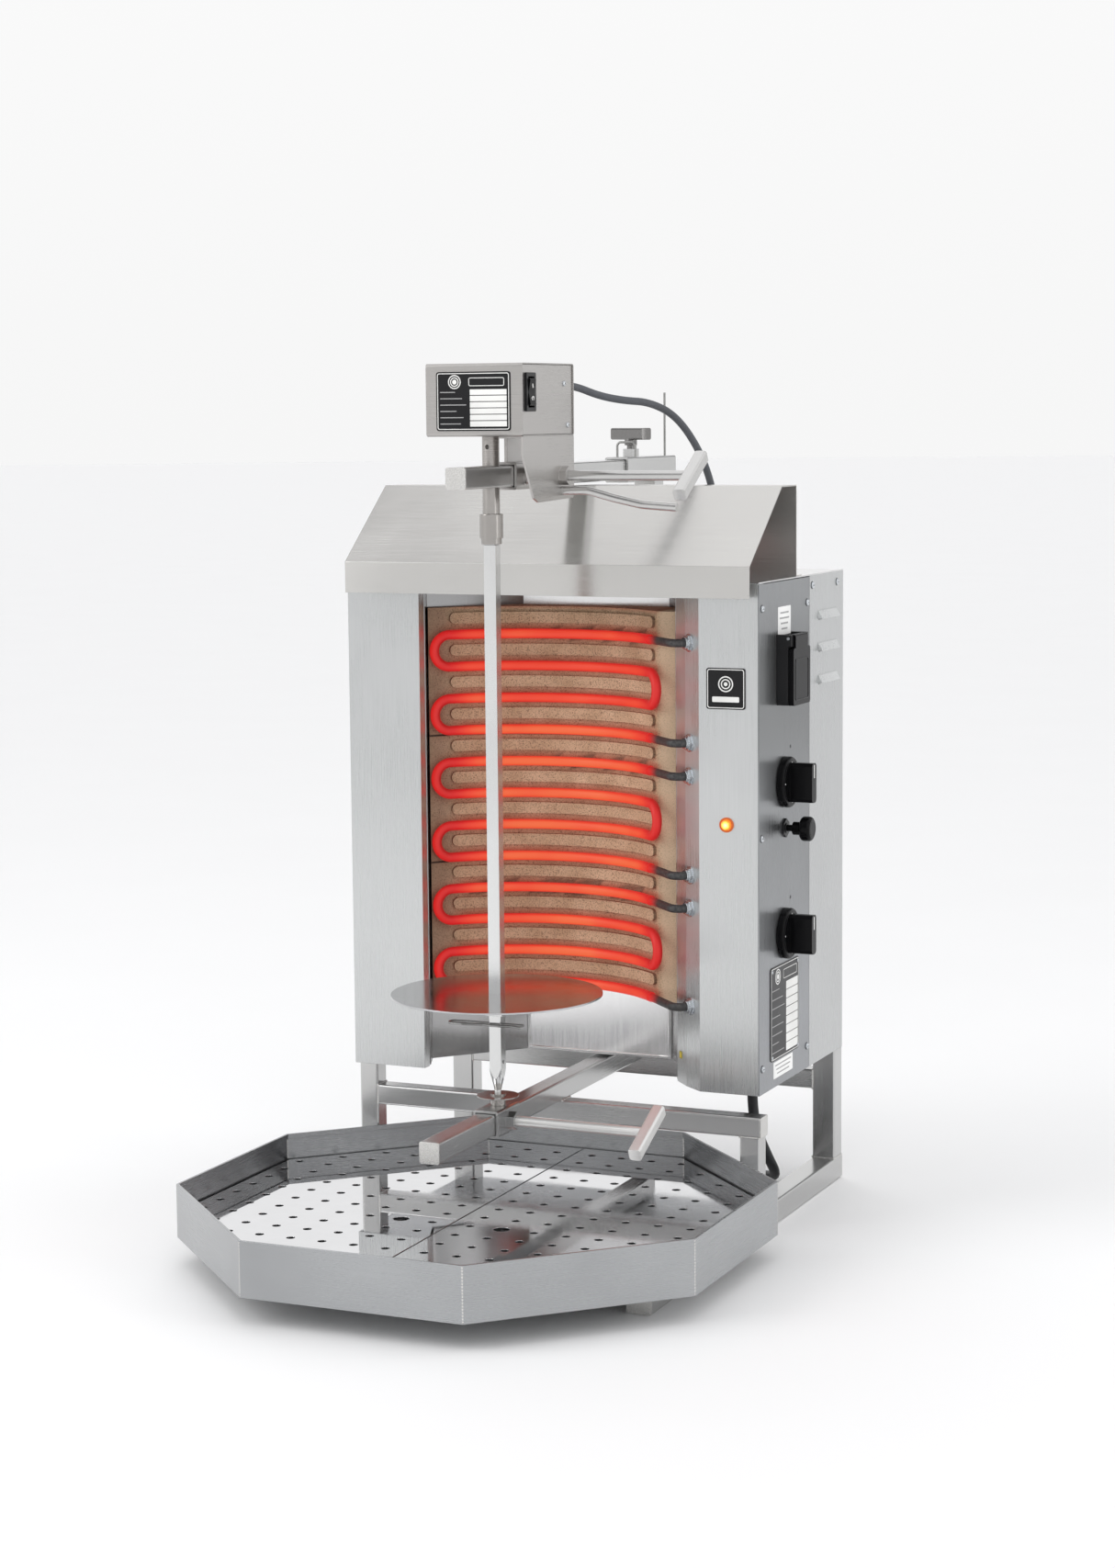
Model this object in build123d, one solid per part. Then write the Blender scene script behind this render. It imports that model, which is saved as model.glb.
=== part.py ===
from build123d import *
import math
import os

# A vertical rotisserie broiler: an electric grill for a meat cone that turns on an upright spit.
# Millimetres. X runs from left to right, Y from front to back, Z up.
# The origin is on the table, under the middle of the whole broiler.

# Driving dimensions
HALF_WIDTH = 271.0      # outer faces of the frame and the housing
FRONT = 80.0            # front face of the housing
REAR = 394.0            # back face of the housing and rear ends of the foot rails
HOUSING_BOTTOM = 172.0
HOUSING_TOP = 785.0
SHEET = 1.5             # sheet metal
WALL = 2.0              # wall of the square tubes
RAIL = 30.0             # foot rails, rear posts and mast
BEAM = 25.0             # cross rails, front posts and both arms
RAIL_FRONT = -269.0
CROSS_BOTTOM = 120.0
LOWER_ARM_BOTTOM = CROSS_BOTTOM + BEAM
UPPER_ARM_BOTTOM = 901.0
SPIT_Y = -79.0
SPIT = 15.0             # across the flats of the square spit
SLEEVE_WALL = 3.0
SLEEVE_GAP = 0.5        # between a sleeve and its arm
SLEEVE_LENGTH = 61.0
LOWER_SLEEVE_Y = -84.5  # middle of the lower sleeve, its clamp and its clamp rod
UPPER_SLEEVE_Y = -12.0
PAN_Y = -142.0
PAN_FLATS = 650.0       # across the flats of the octagonal drip pan
PAN_BOTTOM = RAIL
PAN_HEIGHT = 64.0
INSERT_TOP = 62.0
HOLE_PITCH = 40.0
HEATER_X = -22.0        # axis of the arc that the heating elements follow
HEATER_Y = 1.0
ELEMENT_ARC = 187.0
ELEMENT_RADIUS = 6.0
COLD_RADIUS = 5.0       # of an element's swaged ends
ELEMENT_BEND = 20.0
ELEMENT_SPAN = 46.0     # degrees each side of the middle
ROW_PITCH = 40.0
TOP_ROW = 712.8
BLOCK_ARC = 197.0
MOTOR_HALF = 60.5
MOTOR_FRONT = -123.5
MOTOR_REAR = 24.5
MOTOR_BOTTOM = 960.0
MOTOR_TOP = 1043.0
CONTROL_Y = 170.0       # knobs and pull switch on the right cover
UPPER_KNOB_Z = 541.0
LOWER_KNOB_Z = 356.0
PULL_KNOB_Z = 485.0
CORD_RADIUS = 4.5
CABLE_RADIUS = 6.5

os.makedirs("parts", exist_ok=True)


def save(name, shape):
    export_step(shape, f"parts/{name}.step")


def block(x0, x1, y0, y1, z0, z1):
    """A box between two corners."""
    return Pos((x0 + x1) / 2, (y0 + y1) / 2, (z0 + z1) / 2) * Box(x1 - x0, y1 - y0, z1 - z0)


def rounded(x0, x1, y0, y1, z0, z1, along, radius):
    """A box whose four long edges along one axis are rounded."""
    box = block(x0, x1, y0, y1, z0, z1)
    return fillet(box.edges().filter_by(along), radius)


def square_tube(x0, x1, y0, y1, z0, z1, along, wall=WALL, corner=2.5):
    """An open square tube between two corners."""
    outer = rounded(x0, x1, y0, y1, z0, z1, along, corner)
    dx, dy, dz = (0 if along == axis else wall for axis in (Axis.X, Axis.Y, Axis.Z))
    ex, ey, ez = (1 if along == axis else 0 for axis in (Axis.X, Axis.Y, Axis.Z))
    inner = block(x0 + dx - ex, x1 - dx + ex, y0 + dy - ey, y1 - dy + ey, z0 + dz - ez, z1 - dz + ez)
    return outer - inner


def rod(start, end, radius):
    """A round bar from one point to another."""
    a, b = Vector(*start), Vector(*end)
    way = b - a
    return extrude(Plane(a, z_dir=way) * Circle(radius), amount=way.length)


def hexagon(start, end, across):
    """A hexagon bar, such as a nut, from one point to another."""
    a, b = Vector(*start), Vector(*end)
    way = b - a
    return extrude(Plane(a, z_dir=way) * RegularPolygon(across / math.sqrt(3), 6), amount=way.length)


def folded_outline(points, thickness):
    """The closed outline of a folded sheet: its points, and the same line moved left by the thickness."""
    line = [Vector(*p) for p in points]
    ways = [(b - a).normalized() for a, b in zip(line, line[1:])]
    lefts = [Vector(-w.Y, w.X) for w in ways]
    moved = []
    for i, point in enumerate(line):
        before, after = lefts[max(i - 1, 0)], lefts[min(i, len(lefts) - 1)]
        moved.append(point + (before + after) * (thickness / (1 + before.dot(after))))
    return make_face(Polyline(*line, *reversed(moved), close=True))


def folded_upright(points, z0, z1, thickness=SHEET):
    """A sheet folded about upright lines, from its outline in plan."""
    return extrude(Pos(0, 0, z0) * folded_outline(points, thickness), amount=z1 - z0)


def folded_across(points, x0, x1, thickness=SHEET):
    """A sheet folded about lines along X, from its outline in Y and Z."""
    return extrude(Plane((x0, 0, 0), x_dir=(0, 1, 0), z_dir=(1, 0, 0)) * folded_outline(points, thickness),
                   amount=x1 - x0)


def rounded_path(points, radii):
    """Straight runs joined by tangent arcs."""
    return FilletPolyline(*[Vector(*p) for p in points], radius=radii)


def wire(points, radius, bends):
    """A bent round wire."""
    path = rounded_path(points, bends)
    return sweep(Plane(path @ 0, z_dir=path % 0) * Circle(radius), path=path)


def turn(a, b, c):
    """How far a route turns at b, in degrees."""
    return (Vector(*b) - Vector(*a)).get_angle(Vector(*c) - Vector(*b))


def cord(name, points, radius):
    """The tube of a free cord: each arc is as large as its two runs allow."""
    radii = []
    for a, b, c in zip(points, points[1:], points[2:]):
        shorter = min((Vector(*b) - Vector(*a)).length, (Vector(*c) - Vector(*b)).length)
        radii.append(0.45 * shorter / math.tan(math.radians(turn(a, b, c)) / 2))
    path = rounded_path(points, radii)
    tube = sweep(Plane(path @ 0, z_dir=path % 0) * Circle(radius), path=path)
    print(name, "length", round(path.length, 1), "radii in diameters",
          [round(r / (2 * radius), 1) for r in radii],
          "volume ratio", round(tube.volume / (math.pi * radius ** 2 * path.length), 4))
    return tube


# ---------------------------------------------------------------- frame

def foot_rails():
    left = square_tube(-HALF_WIDTH, RAIL - HALF_WIDTH, RAIL_FRONT, REAR, 0, RAIL, Axis.Y)
    return Compound(children=[left, mirror(left, about=Plane.YZ)])


def front_posts():
    """Two upright tubes under the housing's front: the left one carries on up behind the column."""
    left = square_tube(-HALF_WIDTH + 5, -HALF_WIDTH + 5 + BEAM, FRONT + SHEET, FRONT + SHEET + BEAM,
                       RAIL, HOUSING_BOTTOM + 60, Axis.Z)
    right = square_tube(HALF_WIDTH - 26, HALF_WIDTH - 1, FRONT + SHEET, FRONT + SHEET + BEAM,
                        RAIL, CROSS_BOTTOM, Axis.Z)
    return Compound(children=[left, right])


def rear_posts():
    left = square_tube(-HALF_WIDTH, RAIL - HALF_WIDTH, REAR - RAIL, REAR, RAIL, HOUSING_BOTTOM, Axis.Z)
    return Compound(children=[left, mirror(left, about=Plane.YZ)])


def cross_rails():
    """The front rail ends over the right post; the rear rail lies between the rear posts."""
    front = square_tube(-HALF_WIDTH + 5 + BEAM, HALF_WIDTH - 1, FRONT + SHEET, FRONT + SHEET + BEAM,
                        CROSS_BOTTOM, CROSS_BOTTOM + BEAM, Axis.X)
    rear = square_tube(RAIL - HALF_WIDTH, HALF_WIDTH - RAIL, REAR - RAIL, REAR - RAIL + BEAM,
                       CROSS_BOTTOM, CROSS_BOTTOM + BEAM, Axis.X)
    return Compound(children=[front, rear])


def lower_arm():
    return square_tube(-BEAM / 2, BEAM / 2, -265, REAR - RAIL + BEAM, LOWER_ARM_BOTTOM,
                       LOWER_ARM_BOTTOM + BEAM, Axis.Y)


def tube_end_caps():
    """Welded plates that close the open ends of the tubes."""
    cap = 2.0
    plates = []
    for x in (-HALF_WIDTH, HALF_WIDTH - RAIL):
        plates.append(rounded(x, x + RAIL, RAIL_FRONT - cap, RAIL_FRONT, 0, RAIL, Axis.Y, 2.5))
        plates.append(rounded(x, x + RAIL, REAR, REAR + cap, 0, RAIL, Axis.Y, 2.5))
    plates.append(rounded(-BEAM / 2, BEAM / 2, -265 - cap, -265, LOWER_ARM_BOTTOM,
                          LOWER_ARM_BOTTOM + BEAM, Axis.Y, 2.5))
    plates.append(rounded(HALF_WIDTH - 1, HALF_WIDTH + 1, FRONT + SHEET, FRONT + SHEET + BEAM,
                          CROSS_BOTTOM, CROSS_BOTTOM + BEAM, Axis.X, 2.5))
    upper = UPPER_ARM_BOTTOM
    plates.append(rounded(-BEAM / 2, BEAM / 2, -175, -173, upper, upper + BEAM, Axis.Y, 2.5))
    plates.append(rounded(-BEAM / 2, BEAM / 2, 460, 462, upper, upper + BEAM, Axis.Y, 2.5))
    return Compound(children=plates)


def rear_mast():
    """The upright tube behind the housing that carries the upper arm, with two bolting plates."""
    top = UPPER_ARM_BOTTOM - SLEEVE_GAP - SLEEVE_WALL
    mast = square_tube(-RAIL / 2, RAIL / 2, REAR + 3, REAR + 3 + RAIL, 200, top, Axis.Z)
    for z in (240, 730):
        mast += block(-45, 45, REAR, REAR + 3, z - 25, z + 25)
        for x in (-33, 33):
            mast += hexagon((x, REAR + 3, z), (x, REAR + 8.5, z), 13)
    return mast


def upper_sleeve():
    """The square sleeve on the mast that holds the upper arm, with the nut of its clamp screw."""
    half = BEAM / 2 + SLEEVE_GAP + SLEEVE_WALL
    low = UPPER_ARM_BOTTOM - SLEEVE_GAP - SLEEVE_WALL
    high = low + 2 * half
    sleeve = square_tube(-half, half, 302, 467, low, high, Axis.Y, wall=SLEEVE_WALL, corner=3)
    sleeve -= Pos(0, 350, high) * Cylinder(5.05, 20)
    nut = hexagon((0, 350, high), (0, 350, high + 10), 19) - Pos(0, 350, high) * Cylinder(5.05, 40)
    return sleeve + nut


def clamp_bar(length, size=15.0):
    """The square cross bar of a clamp screw, along X, with rounded ends."""
    bar = rounded(-length / 2, length / 2, -size / 2, size / 2, -size / 2, size / 2, Axis.X, 3)
    return bar & Cylinder(length / 2 - 0.2, 2 * size)


def top_clamp_screw():
    """A stud down through the sleeve's nut onto the arm, with its cross bar on top."""
    stud = rod((0, 350, UPPER_ARM_BOTTOM + BEAM + 0.05), (0, 350, 953), 5.0)
    stud += rod((0, 350, 944), (0, 350, 953), 8.0)
    return stud + Pos(0, 350, 958.5) * Rot(0, 0, -31) * clamp_bar(68)


def cable_guide_wire():
    """A tall wire and a low wire loop on the sleeve that keep the motor cord in place."""
    top = UPPER_ARM_BOTTOM - SLEEVE_GAP - SLEEVE_WALL + 32
    tall = rod((10, 443, top), (10, 443, 1011), 1.5)
    loop = wire([(-13, 336, top), (-13, 336, 948), (12, 336, 948), (12, 336, top)], 1.5, [5, 5])
    return Compound(children=[tall, loop])


def upper_arm():
    """The upper arm, slotted where the drive spindle passes down through it."""
    arm = square_tube(-BEAM / 2, BEAM / 2, -173, 460, UPPER_ARM_BOTTOM, UPPER_ARM_BOTTOM + BEAM, Axis.Y)
    slot = block(-10.4, 10.4, SPIT_Y - 32, SPIT_Y + 32, UPPER_ARM_BOTTOM - 1, UPPER_ARM_BOTTOM + BEAM + 1)
    for y in (SPIT_Y - 32, SPIT_Y + 32):
        slot += Pos(0, y, UPPER_ARM_BOTTOM + BEAM / 2) * Cylinder(10.4, BEAM + 2)
    return arm - slot


# ---------------------------------------------------------------- housing

def left_column():
    """The left front column and left side, one folded sheet."""
    plan = [(-HALF_WIDTH, 263), (-HALF_WIDTH, FRONT), (-173.5, FRONT), (-173.5, FRONT + 14)]
    return folded_upright(plan, HOUSING_BOTTOM, HOUSING_TOP)


def ferrule_points():
    """Where the ends of the heating elements pass the chamfer of the right column."""
    rows = [TOP_ROW - ROW_PITCH * i for i in (0, 3, 4, 7, 8, 11)]
    return [(FERRULE_X, FERRULE_Y, z) for z in rows]


CHAMFER_OUT = Vector(-22, -26).normalized()    # square to the chamfer, out of the column
FERRULE_X = 178.0
FERRULE_Y = FRONT + 22 * (195 - FERRULE_X) / 26


def right_column():
    """The right front column: front face, chamfer with the element ends, strip and inner wall."""
    inside = HALF_WIDTH - SHEET - 0.1
    plan = [(inside, FRONT + 20), (inside, FRONT), (195, FRONT), (169, FRONT + 22), (148, FRONT + 46),
            (148, FRONT + 96)]
    column = folded_upright(plan, HOUSING_BOTTOM, HOUSING_TOP, -SHEET)
    for x, y, z in ferrule_points():
        column -= rod((x + 30 * CHAMFER_OUT.X, y + 30 * CHAMFER_OUT.Y, z),
                      (x - 30 * CHAMFER_OUT.X, y - 30 * CHAMFER_OUT.Y, z), COLD_RADIUS + 0.6)
    return column - rod((230, FRONT - 5, 498), (230, FRONT + 5, 498), 6.6)


def side_cover():
    """The removable cover on the right side, cut for the controls and the socket."""
    plan = [(HALF_WIDTH, 262), (HALF_WIDTH, FRONT)]
    cover = folded_upright(plan, HOUSING_BOTTOM, HOUSING_TOP - 1, -SHEET)
    for z in (UPPER_KNOB_Z, LOWER_KNOB_Z, PULL_KNOB_Z):
        cover -= rod((HALF_WIDTH - 5, CONTROL_Y, z), (HALF_WIDTH + 5, CONTROL_Y, z), 6.5)
    return cover - block(HALF_WIDTH - 5, HALF_WIDTH + 5, 150, 192, 652, 706)


def rear_cover():
    """The rear of the housing: both rear sides and the back in one folded sheet, with louvres."""
    plan = [(-HALF_WIDTH, 263.5), (-HALF_WIDTH, REAR), (HALF_WIDTH, REAR), (HALF_WIDTH, 263.5)]
    cover = folded_upright(plan, HOUSING_BOTTOM, HOUSING_TOP, -SHEET)
    for side in (-1, 1):
        for z in (735, 695, 655):
            y0, y1 = 296, 366
            x = HALF_WIDTH
            outer = Polyline((x - 1, z + 8), (x + 6, z - 5), (x - 1, z - 5), close=True)
            inner = Polyline((x - 3, z + 6.5), (x + 4.6, z - 6), (x - 3, z - 6), close=True)
            hood = extrude(Plane((0, y1, 0), x_dir=(1, 0, 0), z_dir=(0, -1, 0)) * make_face(outer),
                           amount=y1 - y0)
            vent = extrude(Plane((0, y1 - 1.5, 0), x_dir=(1, 0, 0), z_dir=(0, -1, 0)) * make_face(inner),
                           amount=y1 - y0 - 3)
            if side < 0:
                hood, vent = mirror(hood, about=Plane.YZ), mirror(vent, about=Plane.YZ)
            cover = cover + hood - vent
    for x in range(-180, 181, 40):
        for z in (300, 620):
            cover -= block(x - 3, x + 3, REAR - 5, REAR + 5, z, z + 60)
    return cover


REFLECTOR = [(-173, FRONT + 16), (-188, FRONT + 53), (-100, FRONT + 153), (98, FRONT + 153),
             (146, FRONT + 98), (146, FRONT + 50)]


def reflector():
    """The bright folded sheet behind the insulation."""
    return folded_upright(REFLECTOR, HOUSING_BOTTOM + SHEET, HOUSING_TOP - SHEET, SHEET)


def plan_opening():
    """The plan of the open front niche."""
    return make_face(Polyline(*REFLECTOR, (146, FRONT - 5), (-173, FRONT - 5), close=True))


def floor_panel():
    """The floor of the housing, around the open niche."""
    plate = block(-HALF_WIDTH + 2, HALF_WIDTH - 3.2, FRONT + 2, REAR - 2,
                  HOUSING_BOTTOM, HOUSING_BOTTOM + SHEET)
    niche = offset(plan_opening(), 4.5, kind=Kind.INTERSECTION)
    plate -= extrude(Pos(0, 0, HOUSING_BOTTOM - 5) * niche, amount=20)
    plate -= block(140, 200, FRONT - 5, FRONT + 60, HOUSING_BOTTOM - 5, HOUSING_BOTTOM + 15)
    post = block(-HALF_WIDTH + 4, -HALF_WIDTH + 31, FRONT, FRONT + 28, HOUSING_BOTTOM - 5, HOUSING_BOTTOM + 9)
    return plate - post - rod((212, 218, HOUSING_BOTTOM - 5), (212, 218, HOUSING_BOTTOM + 5), 8.1)


def roof_panel():
    """The roof, a shallow tray turned upside down over the housing."""
    top = block(-HALF_WIDTH, HALF_WIDTH, FRONT, REAR, HOUSING_TOP, HOUSING_TOP + SHEET)
    return top - rod((146, 272, HOUSING_TOP - 5), (146, 272, HOUSING_TOP + 5), 6.1)


def hood():
    """The heat hood: front lip, slope, flat top and back, open at both ends."""
    flange = HOUSING_TOP + 2 * SHEET
    profile = [(FRONT - 20, 768), (FRONT - 20, 806), (FRONT + 95, 897), (FRONT + 150, 897),
               (FRONT + 150, flange), (FRONT + 168, flange)]
    return folded_across(profile, -264, 266, -SHEET)


FLAT_FROM = 119.0       # the blocks' face is flat from here to the right
FLAT_Y = 138.4


def insulation_blocks():
    """Three stacked refractory blocks with a hollow face and raised ribs between the element rows."""
    right = 144.5
    plan = make_face(Polyline((right, FRONT - 5), (right, FRONT + 97), (97, FRONT + 150.5),
                              (-99, FRONT + 150.5), (-185.5, FRONT + 53), (-172, FRONT + 19),
                              (-172, FRONT - 5), close=True))
    face = Pos(HEATER_X, HEATER_Y, 0) * Circle(BLOCK_ARC)
    band = Pos((FLAT_FROM + right) / 2 + 10, FLAT_Y - 50) * Rectangle(right - FLAT_FROM + 20, 100)
    section = plan - face - band
    section = section.faces().sort_by(Axis.Y)[-1]
    blocks = []
    for i in range(3):
        top_row = TOP_ROW - 4 * ROW_PITCH * i
        low = top_row - 3 * ROW_PITCH - 6.3
        body = extrude(Pos(0, 0, low) * section, amount=4 * ROW_PITCH - 0.2)
        for row in range(4):
            body += rib(top_row - row * ROW_PITCH + ROW_PITCH / 2)
        blocks.append(body)
    return Compound(children=blocks)


def rib(z):
    """A raised rib with round ends on a block's hollow face."""
    height, proud = 14.0, 4.5
    low, high = BLOCK_ARC - proud, BLOCK_ARC + 2
    ring = Circle(high) - Circle(low)
    wedge = make_face(Polyline((0, 0), (-300, 300), (-300, 310), (300, 310), (292, 300), close=True))
    bar = extrude(ring & wedge, amount=height)
    ends = [e for e in bar.edges() if abs(e.length - (high - low)) < 0.01]
    bar = fillet(ends, height / 2 - 0.3)
    return Pos(HEATER_X, HEATER_Y, z - height / 2) * bar


def on_arc(degrees, z):
    """A point on the elements' arc, from the middle, to the right when positive."""
    angle = math.radians(degrees)
    return Vector(HEATER_X + ELEMENT_ARC * math.sin(angle), HEATER_Y + ELEMENT_ARC * math.cos(angle), z)


def heating_element(index):
    """A tubular element of four rows: two bends on the left, one on the right, both ends on the right."""
    rows = [TOP_ROW - ROW_PITCH * (4 * index + i) for i in range(4)]
    section = Circle(ELEMENT_RADIUS)
    solid = None

    def along(edge, profile=section):
        return sweep(Plane(edge @ 0, z_dir=edge % 0) * profile, path=edge)

    for z in rows:
        arc = ThreePointArc(on_arc(-ELEMENT_SPAN, z), on_arc(0, z), on_arc(ELEMENT_SPAN, z))
        solid = along(arc) if solid is None else solid + along(arc)
    angle = math.radians(ELEMENT_SPAN)
    for i, side in ((0, -1), (1, 1), (2, -1)):
        a, b = on_arc(side * ELEMENT_SPAN, rows[i]), on_arc(side * ELEMENT_SPAN, rows[i + 1])
        out = Vector(side * math.cos(angle), -math.sin(angle), 0)
        solid += along(ThreePointArc(a, (a + b) / 2 + out * ELEMENT_BEND, b))
    for z in (rows[0], rows[3]):
        start = on_arc(ELEMENT_SPAN, z)
        out = Vector(math.cos(angle), -math.sin(angle), 0)
        chamfer_point = Vector(FERRULE_X, FERRULE_Y, z)
        knee = start + out * 74.2
        end = chamfer_point - Vector(CHAMFER_OUT.X, CHAMFER_OUT.Y, 0) * 24
        path = FilletPolyline(start, knee, end, radius=12)
        solid += along(path, Circle(COLD_RADIUS))
    return solid


def element_ferrules():
    """The collar, washer and nut on each element end, outside the chamfer."""
    parts = []
    way = Vector(CHAMFER_OUT.X, CHAMFER_OUT.Y, 0)
    for x, y, z in ferrule_points():
        foot = Vector(x, y, z)
        solid = rod(tuple(foot), tuple(foot + way * 1.5), 11)
        solid += hexagon(tuple(foot), tuple(foot + way * 5), 17)
        solid += rod(tuple(foot), tuple(foot + way * 8), 7)
        solid -= rod(tuple(foot - way * 5), tuple(foot + way * 30), COLD_RADIUS + 0.3)
        parts.append(solid)
    return Compound(children=parts)


def pilot_lamp():
    lens = Pos(230, FRONT - 2.5, 498) * Rot(90, 0, 0) * Cylinder(6, 5)
    lens = fillet(lens.edges().filter_by(GeomType.CIRCLE).sort_by(Axis.Y)[:1], 2)
    lens += rod((230, FRONT - 1.5, 498), (230, FRONT, 498), 9)
    return lens + rod((230, FRONT, 498), (230, FRONT + 22, 498), 6.0)


def front_plates():
    """The badge on the front face and the type plate on the side cover, both blank."""
    badge = rounded(205, 254, FRONT - 1.2, FRONT, 636, 685, Axis.Y, 3)
    plate = rounded(HALF_WIDTH, HALF_WIDTH + 1, 118, 221, 205, 320, Axis.X, 5)
    return Compound(children=[badge, plate])


def cover_screws():
    """Pan-head screws of the side cover and the rear cover."""
    spots = [(90, 755), (253, 753), (88, 482), (253, 200), (90, 203), (273, 773), (369, 772)]
    screws = []
    for y, z in spots:
        head = rod((HALF_WIDTH, y, z), (HALF_WIDTH + 2.4, y, z), 4.0)
        head = fillet(head.edges().filter_by(GeomType.CIRCLE).sort_by(Axis.X)[-1:], 1.4)
        head -= block(HALF_WIDTH + 1.4, HALF_WIDTH + 3, y - 3, y + 3, z - 0.5, z + 0.5)
        screws.append(head)
    return Compound(children=screws)


SOCKET = (271.0, 286.0, 140.0, 202.0, 636.0, 722.0)    # x0, x1, y0, y1, z0, z1 of the socket body


def socket_body():
    """The outlet for accessories, with an insert of round contact holes and lugs for its lid."""
    x0, x1, y0, y1, z0, z1 = SOCKET
    body = rounded(x0, x1, y0, y1, z0, z1 - 11, Axis.X, 5)
    well = Pos(x1, (y0 + y1) / 2, (z0 + z1) / 2 - 8) * Rot(0, 90, 0) * Cylinder(25, 16)
    body -= well
    insert = Pos(x0 + 4.5, (y0 + y1) / 2, (z0 + z1) / 2 - 8) * Rot(0, 90, 0) * Cylinder(24, 9)
    for dy, dz in ((-9.5, 0), (9.5, 0)):
        insert -= rod((x0 + 1, (y0 + y1) / 2 + dy, (z0 + z1) / 2 - 8 + dz),
                      (x1, (y0 + y1) / 2 + dy, (z0 + z1) / 2 - 8 + dz), 2.4)
    lugs = block(x0, x1 + 4, y0, y0 + 8, z1 - 15, z1 - 1) + block(x0, x1 + 4, y1 - 8, y1, z1 - 15, z1 - 1)
    hole = rod((x1, y0 - 5, z1 - 5.5), (x1, y1 + 5, z1 - 5.5), 2.05)
    backbox = block(x0 - 22, x0 + 1, 151, 191, 653, 705)
    return body + insert + lugs - hole + backbox


def socket_hinge_pin():
    x0, x1, y0, y1, z0, z1 = SOCKET
    return rod((x1, y0 + 0.5, z1 - 5.5), (x1, y1 - 0.5, z1 - 5.5), 2.0)


def socket_lid():
    """The spring lid, hinged along its top edge."""
    x0, x1, y0, y1, z0, z1 = SOCKET
    lid = rounded(x1 + 0.3, x1 + 7, y0 + 0.5, y1 - 0.5, z0, z1 - 17, Axis.X, 4)
    eye = block(x1 - 2, x1 + 7, y0 + 8.5, y1 - 8.5, z1 - 20, z1 - 5.5)
    eye += rod((x1, y0 + 8.5, z1 - 5.5), (x1, y1 - 8.5, z1 - 5.5), 4.4)
    eye += rounded(x1 - 1, x1 + 7, y0 + 8.5, y1 - 8.5, z1 - 16, z1 - 1, Axis.Y, 3.5)
    eye -= block(x1 - 10, x1 + 0.3, y0, y1, z0, z1 - 10)
    return lid + eye - rod((x1, y0, z1 - 5.5), (x1, y1, z1 - 5.5), 2.05)


def zone_knob(z):
    """A round skirt with a wing grip and its shaft."""
    x = HALF_WIDTH + 1.0
    skirt = rod((x, CONTROL_Y, z), (x + 9, CONTROL_Y, z), 31)
    skirt = fillet(skirt.edges().filter_by(GeomType.CIRCLE).sort_by(Axis.X)[-1:], 3)
    grip = rounded(x + 8, x + 37, CONTROL_Y - 8, CONTROL_Y + 8, z - 24, z + 24, Axis.X, 5)
    waist = Pos(x + 22, CONTROL_Y, z) * Box(31, 60, 60) - rod((x, CONTROL_Y, z), (x + 50, CONTROL_Y, z), 26)
    knob = skirt + (grip - waist)
    shaft = rod((HALF_WIDTH - 22, CONTROL_Y, z), (x + 2, CONTROL_Y, z), 3)
    return knob + shaft


def control_switches():
    """Two zone switches and the pull switch behind the side cover."""
    bodies = []
    for z in (UPPER_KNOB_Z, LOWER_KNOB_Z):
        body = rounded(HALF_WIDTH - 46, HALF_WIDTH - SHEET, CONTROL_Y - 24, CONTROL_Y + 24,
                       z - 24, z + 24, Axis.X, 3)
        bodies.append(body - rod((HALF_WIDTH - 24, CONTROL_Y, z), (HALF_WIDTH + 5, CONTROL_Y, z), 3.05))
    z = PULL_KNOB_Z
    body = rod((HALF_WIDTH - 40, CONTROL_Y, z), (HALF_WIDTH - SHEET, CONTROL_Y, z), 13)
    body += hexagon((HALF_WIDTH, CONTROL_Y, z), (HALF_WIDTH + 3, CONTROL_Y, z), 20)
    body += rod((HALF_WIDTH - 5, CONTROL_Y, z), (HALF_WIDTH + 4, CONTROL_Y, z), 6.4)
    bodies.append(body - rod((HALF_WIDTH - 32, CONTROL_Y, z), (HALF_WIDTH + 15, CONTROL_Y, z), 4.05))
    return Compound(children=bodies)


def pull_knob():
    """The push-pull knob: a rod and a round head."""
    z = PULL_KNOB_Z
    stem = rod((HALF_WIDTH - 20, CONTROL_Y, z), (HALF_WIDTH + 22, CONTROL_Y, z), 4)
    neck = rod((HALF_WIDTH + 12, CONTROL_Y, z), (HALF_WIDTH + 24, CONTROL_Y, z), 8)
    head = rod((HALF_WIDTH + 22, CONTROL_Y, z), (HALF_WIDTH + 36, CONTROL_Y, z), 15)
    head = fillet(head.edges().filter_by(GeomType.CIRCLE), 4)
    return stem + neck + head


def terminal_block():
    base = block(195, 262, 330, 352, 215, 245)
    for x in range(201, 262, 11):
        base -= Pos(x, 341, 245) * Cylinder(2.5, 20)
    return base + block(195, 262, 352, REAR - SHEET, 222, 226)


def cable_glands():
    """The glands of the mains cable, under the floor, and of the motor cord, on the roof."""
    mains = hexagon((212, 218, HOUSING_BOTTOM), (212, 218, HOUSING_BOTTOM - 9), 24)
    mains += rod((212, 218, HOUSING_BOTTOM), (212, 218, HOUSING_BOTTOM - 20), 10)
    mains += rod((212, 218, HOUSING_BOTTOM - 1), (212, 218, HOUSING_BOTTOM + 10), 8)
    roof = HOUSING_TOP + SHEET
    motor = hexagon((146, 272, roof), (146, 272, roof + 7), 18)
    motor += rod((146, 272, roof), (146, 272, roof + 16), 7.5)
    motor += rod((146, 272, HOUSING_TOP - 8), (146, 272, roof + 1), 6)
    return Compound(children=[mains, motor])


# ---------------------------------------------------------------- drip pan

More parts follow.
